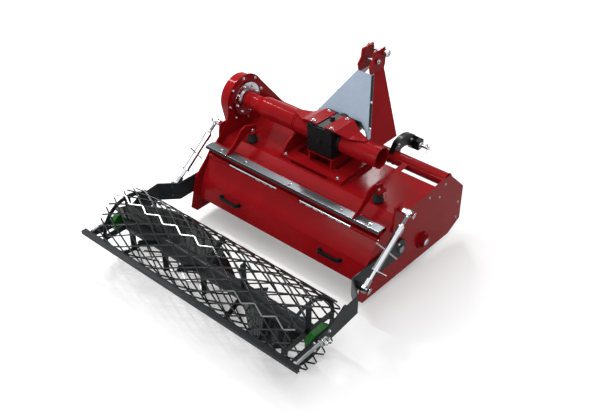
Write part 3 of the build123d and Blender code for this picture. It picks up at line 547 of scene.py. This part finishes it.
# Bolts of the hood, the plates and the drive line
boltPlaces = dict(
    hubFlange=dict(x=-676, radius=92, count=8, size=9, start=12),
    caseRing=dict(x=-692, radius=146, count=8, size=8, start=5),
    brackets=dict(along=(boxX - 72, boxX + 72), across=(-168, -18), z=756, size=9.5),
    pedestal=dict(along=(-214, 207), across=(-229, 42), size=10),
    guard=dict(z=(823, 706), out=3.6, ahead=13, size=7.5),
    slat=dict(x=(-577, -362, 4, 407, 615), y=-437, z=448, size=9.5),
    comb=dict(y=-225, z=528, size=11),
    plates=dict(spots=((206, 430), (39, 417), (150, 365), (379, 210), (378, 92), (-288, 389)), size=7.5),
)


def driveRing(spec):
    return boltRing(place(spec["x"], driveY, driveZ), right, spec["radius"], spec["count"], spec["size"],
                    spec["start"])


makeBolts("caseRingBolts", driveRing(boltPlaces["caseRing"]), "burier", "zinc_plate", **{"Stud Height": 0.35})
rows = driveRing(boltPlaces["hubFlange"])
spec = boltPlaces["brackets"]
rows += [(place(x, y, spec["z"]), up, spec["size"]) for x in spec["along"] for y in spec["across"]]
spec = boltPlaces["pedestal"]
rows += [(place(x, y, hood["footWall"] + hoodHeight(y)), up, spec["size"])
         for x in spec["along"] for y in spec["across"]]
spec = boltPlaces["comb"]
rows += [(place(sign * combX, spec["y"], spec["z"]), up, spec["size"]) for _, sign in sides]
spec = boltPlaces["slat"]
rows += [(place(x, spec["y"], spec["z"]), up, spec["size"]) for x in spec["x"]]
spec = boltPlaces["guard"]
for _, sign in sides:
    outwards = Vector((sign, 0, guard["flare"])).normalized()
    for z in spec["z"]:
        spot = place(boxX + sign * (guardHalf(z) + spec["out"]), guardY(z) + spec["ahead"], z)
        rows.append((spot, outwards, spec["size"]))
makeBolts("hoodBolts", rows, "burier", "zinc_plate", **{"Stud Height": 0.35})
spec = boltPlaces["plates"]
rows = [(place(sign * halfWidth, y, z), right * sign, spec["size"])
        for _, sign in sides for y, z in spec["spots"]]
makeBolts("plateBolts", rows, "burier", "zinc_plate", **{"Washer Radius": 1.15, "Head Height": 0.5})

# Gearbox: bolts round the cover, a centre plug, ribbed collars on its sides and a filler plug on top
gearcase = dict(boltInset=13, boltSize=6.5, bore=68.2, collarRadius=88, collarDepth=17, ribs=10, ribWall=5,
                ribFoot=13, ribReach=11, ribTip=6, plug=15, plugSunk=0.1, fillerAhead=20, fillerSunk=0.5,
                boltSpots=((-1, -1), (-0.33, -1), (0.33, -1), (1, -1), (1, 0), (1, 1), (0.33, 1), (-0.33, 1),
                           (-1, 1), (-1, 0)))
middle = (coverLow + coverHigh) / 2
halfX = (coverHigh.x - coverLow.x) / 2 - gearcase["boltInset"] * mm
halfZ = (coverHigh.z - coverLow.z) / 2 - gearcase["boltInset"] * mm
backY = coverLow.y
rows = []
for fx, fz in gearcase["boltSpots"]:
    spot = Vector((middle.x + fx * halfX, backY, middle.z + fz * halfZ))
    rows.append((spot, -forward, gearcase["boltSize"]))
makeBolts("coverBolts", rows, "burier", "black_paint", **{"Head Height": 0.7, "Washer Radius": 1.2})
shapes = []
bore, wide, depth = gearcase["bore"], gearcase["collarRadius"], gearcase["collarDepth"]
collar = [(bore, 0), (wide, 0), (wide, 5), (wide - 9, 7), (wide - 12, depth - 2), (wide - 14, depth),
          (bore, depth), (bore, 0)]
for _, sign in sides:
    outwards = right * sign
    hub = place((boxHigh.x if sign > 0 else boxLow.x) / mm, driveY, driveZ)
    shapes.append(turned(collar, hub, outwards, facets=48))
    first, second = crossAxes(outwards)
    for k in range(gearcase["ribs"]):
        angle = 2 * pi * (k + 0.5) / gearcase["ribs"]
        out = first * cos(angle) + second * sin(angle)
        flat = out.cross(right)
        root = hub + out * (wide - gearcase["ribFoot"]) * mm - flat * gearcase["ribWall"] / 2 * mm
        tip = root + out * gearcase["ribReach"] * mm
        shapes.append(slab([root, tip, tip + outwards * gearcase["ribTip"] * mm,
                            root + outwards * (depth - 2) * mm], flat * gearcase["ribWall"] * mm))
plug = gearcase["plug"]
shapes.append(turned([(0, 0), (plug + 8, 0), (plug + 8, 2), (plug, 3), (plug, 11), (plug - 3, 13), (0, 13)],
                     Vector((boxX * mm, backY - gearcase["plugSunk"] * mm, middle.z)), -forward, facets=6))
filler = place(boxX, driveY + gearcase["fillerAhead"], 0)
filler.z = boxHigh.z - gearcase["fillerSunk"] * mm
shapes.append(turned([(0, 0), (20, 0), (20, 5), (14, 6), (14, 18), (11, 21), (0, 21)], filler, up,
                     facets=28))
makePiece("gearboxFittings", shapes, "burier", "black_paint")

# Stepped guard round the input shaft, narrower where it passes under the guard sheet
bell = dict(base=62, wide=91, step=42, mouth=73, length=140, wall=3, inset=0.3)
base, wide, step, mouth, length, wall, inset = bell.values()
bellRoot = Vector((boxX * mm, boxHigh.y - inset * mm, place(0, 0, driveZ).z))
profile = [(base, 0), (wide - 5, 4), (wide, 10), (wide, step - 4), (wide - 5, step), (mouth + 3, step + 3),
           (mouth, step + 6), (mouth, length), (mouth - wall, length), (mouth - wall, step + 3),
           (wide - 9, step - wall), (wide - 9, 9), (base, wall), (base, 0)]
makePiece("shaftGuard", [turned(profile, bellRoot, forward, facets=56)], "burier", "black_paint")

# Splined input shaft in place of the plain one, with its groove
spline = dict(neck=30, root=15, crest=17.4, teeth=6, groove=14.4, length=76, grooveAt=(50, 52, 58, 60),
              overlap=1, chamfer=2)
shaftLow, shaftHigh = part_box("input_shaft")
neckEnd = shaftHigh.y - spline["length"] * mm
axisPoint = Vector((boxX * mm, shaftLow.y, (shaftLow.z + shaftHigh.z) / 2))
neck, run = spline["neck"], (neckEnd - shaftLow.y) / mm
shapes = [turned([(0, 0), (neck, 0), (neck, run - 3), (neck - 3, run), (0, run)], axisPoint, forward,
                 facets=48)]


def splineRing(y, crest, root):
    # One cut through the teeth: share of a tooth's pitch, and the radius there
    ring = []
    for k in range(spline["teeth"]):
        for part, radius in ((0.02, root), (0.36, root), (0.4, crest), (0.68, crest), (0.98, crest)):
            angle = 2 * pi * (k + part) / spline["teeth"]
            ring.append(Vector((boxX * mm + radius * mm * cos(angle), y,
                                axisPoint.z + radius * mm * sin(angle))))
    return ring


crest, root, low = spline["crest"], spline["root"], spline["groove"]
fallFrom, fallTo, riseFrom, riseTo = (neckEnd + at * mm for at in spline["grooveAt"])
rings = [(neckEnd - spline["overlap"] * mm, crest, root), (fallFrom, crest, root), (fallTo, low, low),
         (riseFrom, low, low), (riseTo, crest, root), (shaftHigh.y - spline["chamfer"] * mm, crest, root),
         (shaftHigh.y, low, low - 1)]
points, faces = [], []
for y, outer, inner in rings:
    points += splineRing(y, outer, inner)
around = len(points) // len(rings)
for i in range(len(rings) - 1):
    faces += [[i * around + k, i * around + (k + 1) % around, (i + 1) * around + (k + 1) % around,
               (i + 1) * around + k] for k in range(around)]
faces += [list(range(around))[::-1], [(len(rings) - 1) * around + k for k in range(around)]]
shapes.append((points, faces))
shaft = makePiece("splinedShaft", shapes, "input", "bare_steel")
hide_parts("input_shaft")

# Rotor bearing cap: ring, silver disc and small bolts
cap = dict(wall=12, boltRadius=48, bolts=6, boltSize=5.5, start=30)
hub = place(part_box("rotor_bearing_cap")[1].x / mm, 0, rotorZ)
ring = [(26, -sunk), (38, -sunk), (38, 3), (35, 5), (28, 5), (26, 3), (26, -sunk)]
disc = [(0, -sunk), (25, -sunk), (25, 2), (20, 5), (10, 7.5), (0, 8)]
makePiece("capRing", [turned(ring, hub, right, facets=48)], "burier", "red_paint")
makePiece("capDisc", [turned(disc, hub, right, facets=40)], "burier", "zinc_plate")
makeBolts("capBolts", boltRing(place(halfWidth + cap["wall"], 0, rotorZ), right, cap["boltRadius"],
                               cap["bolts"], cap["boltSize"], cap["start"]), "burier", "red_paint")

# Chain case: bolted cover and the rotor's end cap with its bolts
case = dict(x=-772, wall=6, inset=10, top=(driveY, driveZ, 150), foot=(0, rotorZ, 118), boltInset=24,
            steps=30, bolts=7, boltSize=8, capBoltRadius=56, capBolts=6, capBoltSize=5, capBoltAt=4)


def caseOutline(x, inset, steps):
    # Round ends of the case joined by their straight tangents
    (topY, topZ, topRadius), (footY, footZ, footRadius) = case["top"], case["foot"]
    run = hypot(footY - topY, footZ - topZ)
    base = atan2(footZ - topZ, footY - topY)
    lean = pi / 2 - atan2((topRadius - footRadius) / run, 1)
    outline = []
    for y, z, radius, first, sweep in (
            (topY, topZ, topRadius - inset, base + lean, 2 * pi - 2 * lean),
            (footY, footZ, footRadius - inset, base - lean, 2 * lean)):
        for k in range(steps + 1):
            angle = first + sweep * k / steps
            outline.append(place(x, y + radius * cos(angle), z + radius * sin(angle)))
    return outline


outline = caseOutline(case["x"] + sunk, case["inset"], case["steps"])
makePiece("caseCover", [slab(outline, -right * case["wall"] * mm)], "burier", "red_paint")
coverX = case["x"] - case["wall"]
rows = [(spot, -right, case["boltSize"]) for spot in caseOutline(coverX, case["boltInset"], case["bolts"])]
makeBolts("caseBolts", rows, "burier", "zinc_plate")
makePiece("caseCap", [turned([(0, 0), (62, 0), (62, 5), (50, 9), (50, 16), (44, 20), (0, 20)],
                             place(coverX + sunk, 0, rotorZ), -right, facets=56)], "burier", "red_paint")
rows = boltRing(place(coverX - case["capBoltAt"], 0, rotorZ), -right, case["capBoltRadius"],
                case["capBolts"], case["capBoltSize"])
makeBolts("caseCapBolts", rows, "burier", "zinc_plate")

# Headstock pins: bosses, bolt heads and lynch pins
mast = dict(bossX=50, keeperX=70, headX=76.5, stayX=59.5, staySize=12)
boss = [(9.6, -sunk), (21, -sunk), (21, 3), (19, 5), (9.6, 5), (9.6, -sunk)]
head = [(0, 0), (20, 0), (22, 2), (22, 9), (18, 12), (0, 13)]
shapes = []
for _, sign in sides:
    for y, z in mastPins.values():
        shapes.append(turned(boss, place(boxX + sign * mast["bossX"], y, z), right * sign, facets=36))
makePiece("mastBosses", shapes, "burier", "red_paint")
shapes = lynchPin(place(boxX - mast["keeperX"], *mastPins["top"]), -right, up)
shapes.append(turned(head, place(boxX + mast["headX"], *mastPins["top"]), right))
makePiece("topPinKeeper", shapes, "burier", "zinc_plate")
rows = [(place(boxX + sign * mast["stayX"], *mastPins["stay"]), right * sign, mast["staySize"])
        for _, sign in sides]
makeBolts("stayBolts", rows, "burier", "zinc_plate", **{"Head Height": 0.7})

# Lower link pins: collars and lynch pins, and bolts in the arms
linkPin = dict(shoulder=312, hole=52, y=450, z=450, armX=271, armBolts=((262, 522), (402, 498)), armSize=10)
collar = [(11, 0), (22, 0), (22, 5), (19, 8), (11, 8), (11, 0)]
shapes, rows = [], []
for _, sign in sides:
    outwards = right * sign
    root = place(boxX + sign * (linkPin["shoulder"] - sunk), linkPin["y"], linkPin["z"])
    shapes.append(turned(collar, root, outwards, facets=36))
    shapes += lynchPin(root + outwards * linkPin["hole"] * mm, outwards, up)
    rows += [(place(boxX + sign * linkPin["armX"], y, z), outwards, linkPin["armSize"])
             for y, z in linkPin["armBolts"]]
makePiece("linkPinKeepers", shapes, "burier", "zinc_plate")
makeBolts("armBolts", rows, "burier", "zinc_plate", **{"Head Height": 0.55})

# Turnbuckles: keepers on both eyes, cross bars to turn them by, a nut and the thread that shows
buckle = dict(sleeve=(736, 18.1, 18.8, 25, 36), collar=(788, 11.1, 20, 4, 32), keeperInset=9,
              barAt=250, barHalf=108, barRadius=5, barLean=(0.97, -0.24),
              lockAt=375, lockBack=24, lockReach=84, lockRadius=4, lockLean=(0.17, 0.98),
              nutAt=82, nut=(10.2, 19), threadAt=27, threadLength=46, root=10.1, crest=11.2, pitch=2.5)


def leaning(lean, upwards, outwards):
    return (upwards * lean[0] + outwards * lean[1]).normalized()


for name, sign in sides:
    barrel = "barrel_" + name.lower()
    outwards = right * sign
    top = place(sign * turnbuckle["x"], *turnbuckle["top"])
    foot = place(sign * turnbuckle["x"], *turnbuckle["foot"])
    along = (foot - top).normalized()
    square = right.cross(along).normalized()
    square = square if square.z > 0 else -square
    shapes = []
    for x, inner, outer, length, around in (buckle["sleeve"], buckle["collar"]):
        shapes.append(turned(tubeProfile(inner, outer, length), place(sign * x, *turnbuckle["top"]), outwards,
                             facets=around))
    makePiece("topSleeve" + name, shapes, "burier", "zinc_plate")
    for piece, end, body in (("topKeeper", "top", "burier"), ("footKeeper", "foot", "roller_frame")):
        hole = place(sign * (turnbuckle["pinEnd"] - buckle["keeperInset"]), *turnbuckle[end])
        makePiece(piece + name, lynchPin(hole, outwards, square), body, "zinc_plate")
    middle = top + along * buckle["barAt"] * mm
    reach = leaning(buckle["barLean"], square, outwards) * buckle["barHalf"] * mm
    bar = swept([middle - reach, middle + reach], buckle["barRadius"], facets=12)
    makePiece("tommyBar" + name, [bar], barrel, "bare_steel")
    nut = top + along * buckle["lockAt"] * mm
    reach = leaning(buckle["lockLean"], square, outwards)
    lock = [nut - reach * buckle["lockBack"] * mm, nut + reach * buckle["lockReach"] * mm]
    makePiece("lockBar" + name, [
        swept(lock, buckle["lockRadius"], facets=12),
        turned(nutProfile(*buckle["nut"]), top + along * buckle["nutAt"] * mm, along, facets=6)],
        barrel, "zinc_plate")
    ends = [(buckle["root"], 0)]
    ridges = threadRidges(buckle["root"], buckle["crest"], buckle["pitch"], buckle["threadLength"])
    thread = turned(ends + ridges + ends, top + along * buckle["threadAt"] * mm, along, facets=20)
    makePiece("upperThread" + name, [thread], barrel, "bare_steel")

# Arms: stop bolts, bearing bolts, hub bolts and the threaded adjusters behind the hubs
arm = dict(outside=714, stop=(-274, 257), stopSize=8, hub=(-1100.5, 162), hubX=846, hubSize=17, bearingX=822,
           bearingBolts=((-62, 22), (62, 22), (-58, -32), (58, -32)), bearingSize=9,
           foldX=745, foldBolts=((-734, 244), (-734, 178)), foldFacing=-0.8, foldSize=5)
adjuster = dict(x=840, front=(-1126, 178), end=(-1356, 166), root=9, crest=10.5, pitch=3.4, frontNut=6,
                endNut=34, nut=(10, 18.5))
hubY, hubZ = arm["hub"]
rows = []
for _, sign in sides:
    outwards = right * sign
    rows.append((place(sign * arm["outside"], *arm["stop"]), outwards, arm["stopSize"]))
    rows.append((place(sign * arm["hubX"], hubY, hubZ), outwards, arm["hubSize"]))
    rows += [(place(sign * arm["bearingX"], hubY + dy, hubZ + dz), outwards, arm["bearingSize"])
             for dy, dz in arm["bearingBolts"]]
    facing = Vector((sign, arm["foldFacing"], 0)).normalized()
    rows += [(place(sign * arm["foldX"], y, z), facing, arm["foldSize"]) for y, z in arm["foldBolts"]]
makeBolts("frameBolts", rows, "roller_frame", "zinc_plate", **{"Stud Height": 0.3})
shapes = []
for _, sign in sides:
    front = place(sign * adjuster["x"], *adjuster["front"])
    run = place(sign * adjuster["x"], *adjuster["end"]) - front
    along = run.normalized()
    length = run.length / mm
    ridges = threadRidges(adjuster["root"], adjuster["crest"], adjuster["pitch"], length)
    shapes.append(turned([(0, 0)] + ridges + [(0, length)], front, along, facets=18))
    for at in (adjuster["frontNut"], length - adjuster["endNut"]):
        shapes.append(turned(nutProfile(*adjuster["nut"]), front + along * at * mm, along, facets=6))
makePiece("adjusterRods", shapes, "roller_frame", "bare_steel")

# Roller: a sheet wound once round the tube inside the drum
winding = dict(half=733, inner=49, outer=206, wall=4, steps=120, start=122, turn=-312)
acrossWall = right * winding["wall"] / 2 * mm
points, faces = [], []
for i in range(winding["steps"] + 1):
    share = i / winding["steps"]
    angle = radians(winding["start"] + winding["turn"] * share)
    ahead = Vector((0, cos(angle), sin(angle)))
    base = place(winding["half"] * (2 * share - 1), hubY, hubZ)
    for radius in (winding["inner"], winding["outer"]):
        points += [base + ahead * radius * mm - acrossWall, base + ahead * radius * mm + acrossWall]
for i in range(winding["steps"]):
    a, b = 4 * i, 4 * i + 4
    faces += [[a + m, a + n, b + n, b + m] for m, n in ((0, 1), (1, 3), (3, 2), (2, 0))]
faces += [[0, 2, 3, 1], [4 * winding["steps"] + k for k in (0, 1, 3, 2)]]
makePiece("rollerWinding", [(points, faces)], "roller", "anthracite_paint")

# Rotor: two bolts through the foot of every blade
blades = dict(flanges=9, pitch=152, rows=12, perFlange=4, wall=12, flangeWall=10, boltRadii=(72, 92), size=8)
rows = []
for i in range(blades["flanges"]):
    x = (i - (blades["flanges"] - 1) / 2) * blades["pitch"]
    hand = 1 if i < blades["flanges"] / 2 else -1
    for k in range(blades["perFlange"]):
        angle = radians(360 / blades["perFlange"] * k + 360 / blades["rows"] * (i + 0.5) - 90)
        out = Vector((0, cos(angle), sin(angle)))
        for radius in blades["boltRadii"]:
            face = place(x + hand * (blades["flangeWall"] / 2 + blades["wall"]), 0, rotorZ)
            rows.append((face + out * radius * mm, right * hand, blades["size"]))
makeBolts("bladeBolts", rows, "rotor", "blade_steel")

# Flap: the sheet with its three hinge tubes, and round pads under the handles
flap = dict(half=685, hinge=(-445, 373), line=((-451, 363), (-527, 225), (-561, 100)), wall=5,
            tube=13, rod=8.4, tubes=((-685, -505), (-92, 92), (490, 685)), bendRadius=14, bendSteps=6)
pads = dict(x=(337, 490), y=-539.2, z=180, lean=15.2)


def flapProfile(x):
    # Outer line of the sheet with a rounded fold, then the same line one wall inside
    (topY, topZ), (foldY, foldZ), (endY, endZ) = flap["line"]
    before = Vector((foldY - topY, foldZ - topZ)).normalized()
    after = Vector((endY - foldY, endZ - foldZ)).normalized()
    turn = before.angle(after)
    setBack = flap["bendRadius"] * (turn / 2)
    start = Vector((foldY, foldZ)) - before * setBack
    end = Vector((foldY, foldZ)) + after * setBack
    line = [Vector((topY, topZ))]
    for k in range(flap["bendSteps"] + 1):
        t = k / flap["bendSteps"]
        line.append(start * (1 - t) ** 2 + Vector((foldY, foldZ)) * 2 * t * (1 - t) + end * t ** 2)
    line.append(Vector((endY, endZ)))
    inner = []
    for i, spot in enumerate(line):
        way = (line[min(i + 1, len(line) - 1)] - line[max(i - 1, 0)]).normalized()
        inner.append(spot + Vector((-way.y, way.x)) * flap["wall"])
    return [place(x, y, z) for y, z in line + inner[::-1]]


shapes = [slab(flapProfile(-flap["half"]), right * 2 * flap["half"] * mm)]
for start, end in flap["tubes"]:
    shapes.append(turned(tubeProfile(flap["rod"], flap["tube"], end - start), place(start, *flap["hinge"]),
                         right))
flapSheet = makePiece("flapSheet", shapes, "flap", "red_paint")
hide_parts("flap_panel")
outwards = Vector((0, -cos(radians(pads["lean"])), sin(radians(pads["lean"]))))
pad = [(0, -0.3), (15, -0.3), (16, 1), (16, 3.5), (14, 5), (0, 5)]
shapes = [turned(pad, place(sign * x, pads["y"], pads["z"]), outwards, facets=28)
          for _, sign in sides for x in pads["x"]]
makePiece("handlePads", shapes, "flap", "black_paint")

# Rubber edge round the cut-out of the guard, and thin dark strips on its side flanges as painted shade
edging = dict(line=((170, 698), (129, 723), (-129, 723), (-170, 698)), out=1, radius=4.5)
path = [place(boxX + x, guardY(z) - edging["out"], z + edging["out"]) for x, z in edging["line"]]
makePiece("guardEdging", [swept(path, edging["radius"])], "burier", "rubber")
flangeShade = dict(top=946, foot=704, wall=0.8, start=1, end=25, out=3.8)
shapes = []
for _, sign in sides:
    corners = []
    for z, shift in ((flangeShade["top"], flangeShade["start"]), (flangeShade["top"], flangeShade["end"]),
                     (flangeShade["foot"], flangeShade["end"]), (flangeShade["foot"], flangeShade["start"])):
        corners.append(place(boxX + sign * (guardHalf(z) + flangeShade["out"]), guardY(z) + shift, z))
    shapes.append(slab(corners, right * sign * flangeShade["wall"] * mm))
makePiece("guardFlangeShade", shapes, "burier", "rubber")

# Painted light on the comb slat's lip: a bright wire along its bend as a painted highlight, and a thin dark strip
# over its face as painted shade
slat = dict(half=696, foot=(-473, 434), bend=(-463, 448), face=0.5, wall=0.7, wire=1.3, wireOut=0.2)
away = Vector((slat["foot"][1] - slat["bend"][1], slat["bend"][0] - slat["foot"][0])).normalized()
corners = []
for (y, z), gap in ((slat["foot"], slat["face"]), (slat["bend"], slat["face"]),
                    (slat["bend"], slat["face"] - slat["wall"]), (slat["foot"], slat["face"] - slat["wall"])):
    corners.append(place(-slat["half"], y + away.x * gap, z + away.y * gap))
makePiece("slatLipShade", [slab(corners, right * 2 * slat["half"] * mm)], "burier", "anthracite_paint")
bendY, bendZ = slat["bend"][0] - slat["wireOut"], slat["bend"][1] + slat["wireOut"]
bend = [place(sign * slat["half"], bendY, bendZ) for sign in (-1, 1)]
makePiece("slatBendHighlight", [swept(bend, slat["wire"])], "burier", "zinc_plate")

# Toes of the comb's brackets, which reach over the slat to its bend
toe = dict(wall=7.6, outline=((-467, 448.3), (-467, 453), (-383, 509.4), (-382, 506), (-430, 448.3)))
shapes = []
for _, sign in sides:
    start = sign * combX - toe["wall"] / 2
    shapes.append(slab([place(start, y, z) for y, z in toe["outline"]], right * toe["wall"] * mm))
makePiece("bracketToes", shapes, "burier", "red_paint")

# Moulded rubber bodies round the comb's buffers
buffer = dict(y=-225, foot=450, rise=67)
rise = buffer["rise"]
body = [(0, 0), (33, 0), (36, 4), (36, 12), (33, 20), (27, rise - 18), (24, rise - 6), (21, rise), (0, rise)]
shapes = [turned(body, place(sign * combX, buffer["y"], buffer["foot"]), up, facets=40)
          for _, sign in sides]
makePiece("bufferBodies", shapes, "burier", "rubber")

# Weld beads. A ring is x, y, z, radius of the ring, radius of the bead and steps
welds = dict(
    tubes=((-664, driveY, driveZ, 53, 3.2, 40), (-229, driveY, driveZ, 69, 3.2, 44),
           (-215, driveY, driveZ, 69, 3.2, 44)),
    front=dict(centre=(236, 440), radius=46, plateX=690.5, plateBead=3.2, armX=(234, 272), armBead=3,
               steps=40),
    lug=dict(x=700.5, line=((-345, 380), (-325, 545), (-255, 545), (-230, 380)), bead=3.5),
    lugPin=dict(x=712.5, radius=19, bead=3, steps=24),
    comb=dict(aside=5, lines=(((-438, 449), (-406, 449)), ((-258, 528.5), (-192, 528.5))), bead=2.6),
    foot=dict(corners=((-250, -247), (250, -247), (250, 60), (-250, 60)), out=1, bead=3.4),
    bar=dict(x=818, aside=5, y=-1362, z=(156, 172), bead=2.4),
)


def ringBead(x, y, z, radius, thick, steps):
    return weldBead(ringPath(place(x, y, z), forward, up, radius, steps), thick, True)


beads = []
front, lug, lugPin = welds["front"], welds["lug"], welds["lugPin"]
comb, foot, bar = welds["comb"], welds["foot"], welds["bar"]
for _, sign in sides:
    beads.append(ringBead(sign * front["plateX"], *front["centre"], front["radius"], front["plateBead"],
                          front["steps"]))
    beads.append(weldBead([place(sign * lug["x"], y, z) for y, z in lug["line"]], lug["bead"]))
    beads.append(ringBead(sign * lugPin["x"], *turnbuckle["top"], lugPin["radius"], lugPin["bead"],
                          lugPin["steps"]))
    for shift in (-comb["aside"], comb["aside"]):
        x = sign * combX + shift
        beads += [weldBead([place(x, y, z) for y, z in line], comb["bead"]) for line in comb["lines"]]
    beads += [ringBead(boxX + sign * x, *front["centre"], front["radius"], front["armBead"], front["steps"])
              for x in front["armX"]]
beads += [ringBead(*ring) for ring in welds["tubes"]]
corners = [place(x + copysign(foot["out"], x), y + copysign(foot["out"], y), hoodHeight(y))
           for x, y in foot["corners"]]
beads.append(weldBead(corners, foot["bead"], True))
makePiece("weldBeads", beads, "burier", "red_paint")
beads = []
for _, sign in sides:
    for shift in (-bar["aside"], bar["aside"]):
        x = sign * (bar["x"] + shift)
        beads.append(weldBead([place(x, bar["y"], z) for z in bar["z"]], bar["bead"]))
makePiece("barBeads", beads, "roller_frame", "anthracite_paint")
print("stage: small parts")


# Camera at the photograph's place
view = dict(spot=(2.9352, -3.6756, 3.485), tilt=54.07, turn=41.33, lens=52.46, sensor=36)
camera = addObject("camera", bpy.data.cameras.new("camera"))
camera.location = Vector(view["spot"]) + Vector((0, rotorY, 0))
camera.rotation_euler = (radians(view["tilt"]), 0, radians(view["turn"]))
camera.data.sensor_fit = "HORIZONTAL"
camera.data.sensor_width = view["sensor"]
camera.data.lens = view["lens"]
bpy.context.scene.camera = camera

# Pale floor and soft studio light. Lamps: name, spot, target, width, length, power
white = (1, 1, 1, 1)
studio = dict(
    floorColor=(0.80, 0.80, 0.80, 1), floorRough=0.9, floorShine=0.1, floorSize=60,
    floorFade=(1.6, 7.0), floorLift=(0.27, 0.62), worldLevel=0.5,
    lamps=[
        ("lampTop", (0.2, -0.2, 4.2), (0.0, 0.0, 0.2), 4.2, 4.2, 76),
        ("lampBehind", (-1.2, -4.6, 2.2), (0.0, -0.2, 0.3), 2.4, 1.6, 95),
        ("lampRight", (3.2, 2.2, 2.4), (0.0, 0.2, 0.5), 1.6, 1.6, 4),
        ("lampStripNear", (-1.05, 2.2, 2.5), (0.45, 0.35, 0.5), 0.12, 0.7, 16),
        ("lampStripFar", (-1.5, 2.0, 2.6), (0.45, 0.35, 0.5), 0.1, 0.6, 12),
        ("lampDrum", (-2.42, 0.26, 2.7), (-2.42, 0.261, 0.0), 1.3, 0.2, 62),
    ],
)


def backdropRays(tree):
    # Rays that see the backdrop: the camera's own, and those that metal and glass send on
    path = addNode(tree, "ShaderNodeLightPath").outputs
    mirrored = maths(tree, "MAXIMUM", path["Is Glossy Ray"], path["Is Transmission Ray"])
    return maths(tree, "MAXIMUM", mirrored, path["Is Camera Ray"])


# The floor glows a little for those rays, more with distance, so that it fades into the background
floorMesh = bpy.data.meshes.new("floor")
reach = studio["floorSize"] / 2
floorMesh.from_pydata([(-reach, -reach, 0), (reach, -reach, 0), (reach, reach, 0), (-reach, reach, 0)], [],
                      [(0, 1, 2, 3)])
floor = addObject("floor", floorMesh)
floorFinish = bpy.data.materials.new("floorFinish")
floorFinish.use_nodes = True
floorTree = floorFinish.node_tree
floorSurface = floorTree.nodes["Principled BSDF"].inputs
floorSurface["Base Color"].default_value = studio["floorColor"]
floorSurface["Roughness"].default_value = studio["floorRough"]
floorSurface["Specular IOR Level"].default_value = studio["floorShine"]
floorSurface["Emission Color"].default_value = white
spot = addNode(floorTree, "ShaderNodeTexCoord").outputs["Object"]
away = addNode(floorTree, "ShaderNodeVectorMath", {0: spot}, operation="LENGTH")
lift = ramp(floorTree, away.outputs["Value"], *studio["floorFade"], *studio["floorLift"],
            interpolation_type="SMOOTHSTEP")
floorTree.links.new(maths(floorTree, "MULTIPLY", backdropRays(floorTree), lift),
                    floorSurface["Emission Strength"])
floorMesh.materials.append(floorFinish)

world = bpy.data.worlds.new("studio")
world.use_nodes = True
bpy.context.scene.world = world
sky = world.node_tree.nodes["Background"].inputs
level = ramp(world.node_tree, backdropRays(world.node_tree), 0.0, 1.0, studio["worldLevel"])
world.node_tree.links.new(level, sky["Strength"])
sky["Color"].default_value = white
for name, spot, target, width, length, power in studio["lamps"]:
    light = bpy.data.lights.new(name, "AREA")
    light.shape = "RECTANGLE"
    light.size = width
    light.size_y = length
    light.energy = power
    lamp = addObject(name, light)
    lamp.location = spot
    lamp.rotation_euler = (Vector(target) - Vector(spot)).to_track_quat("-Z", "Y").to_euler()
bpy.context.scene.view_settings.view_transform = "Standard"
print("stage: camera and studio")
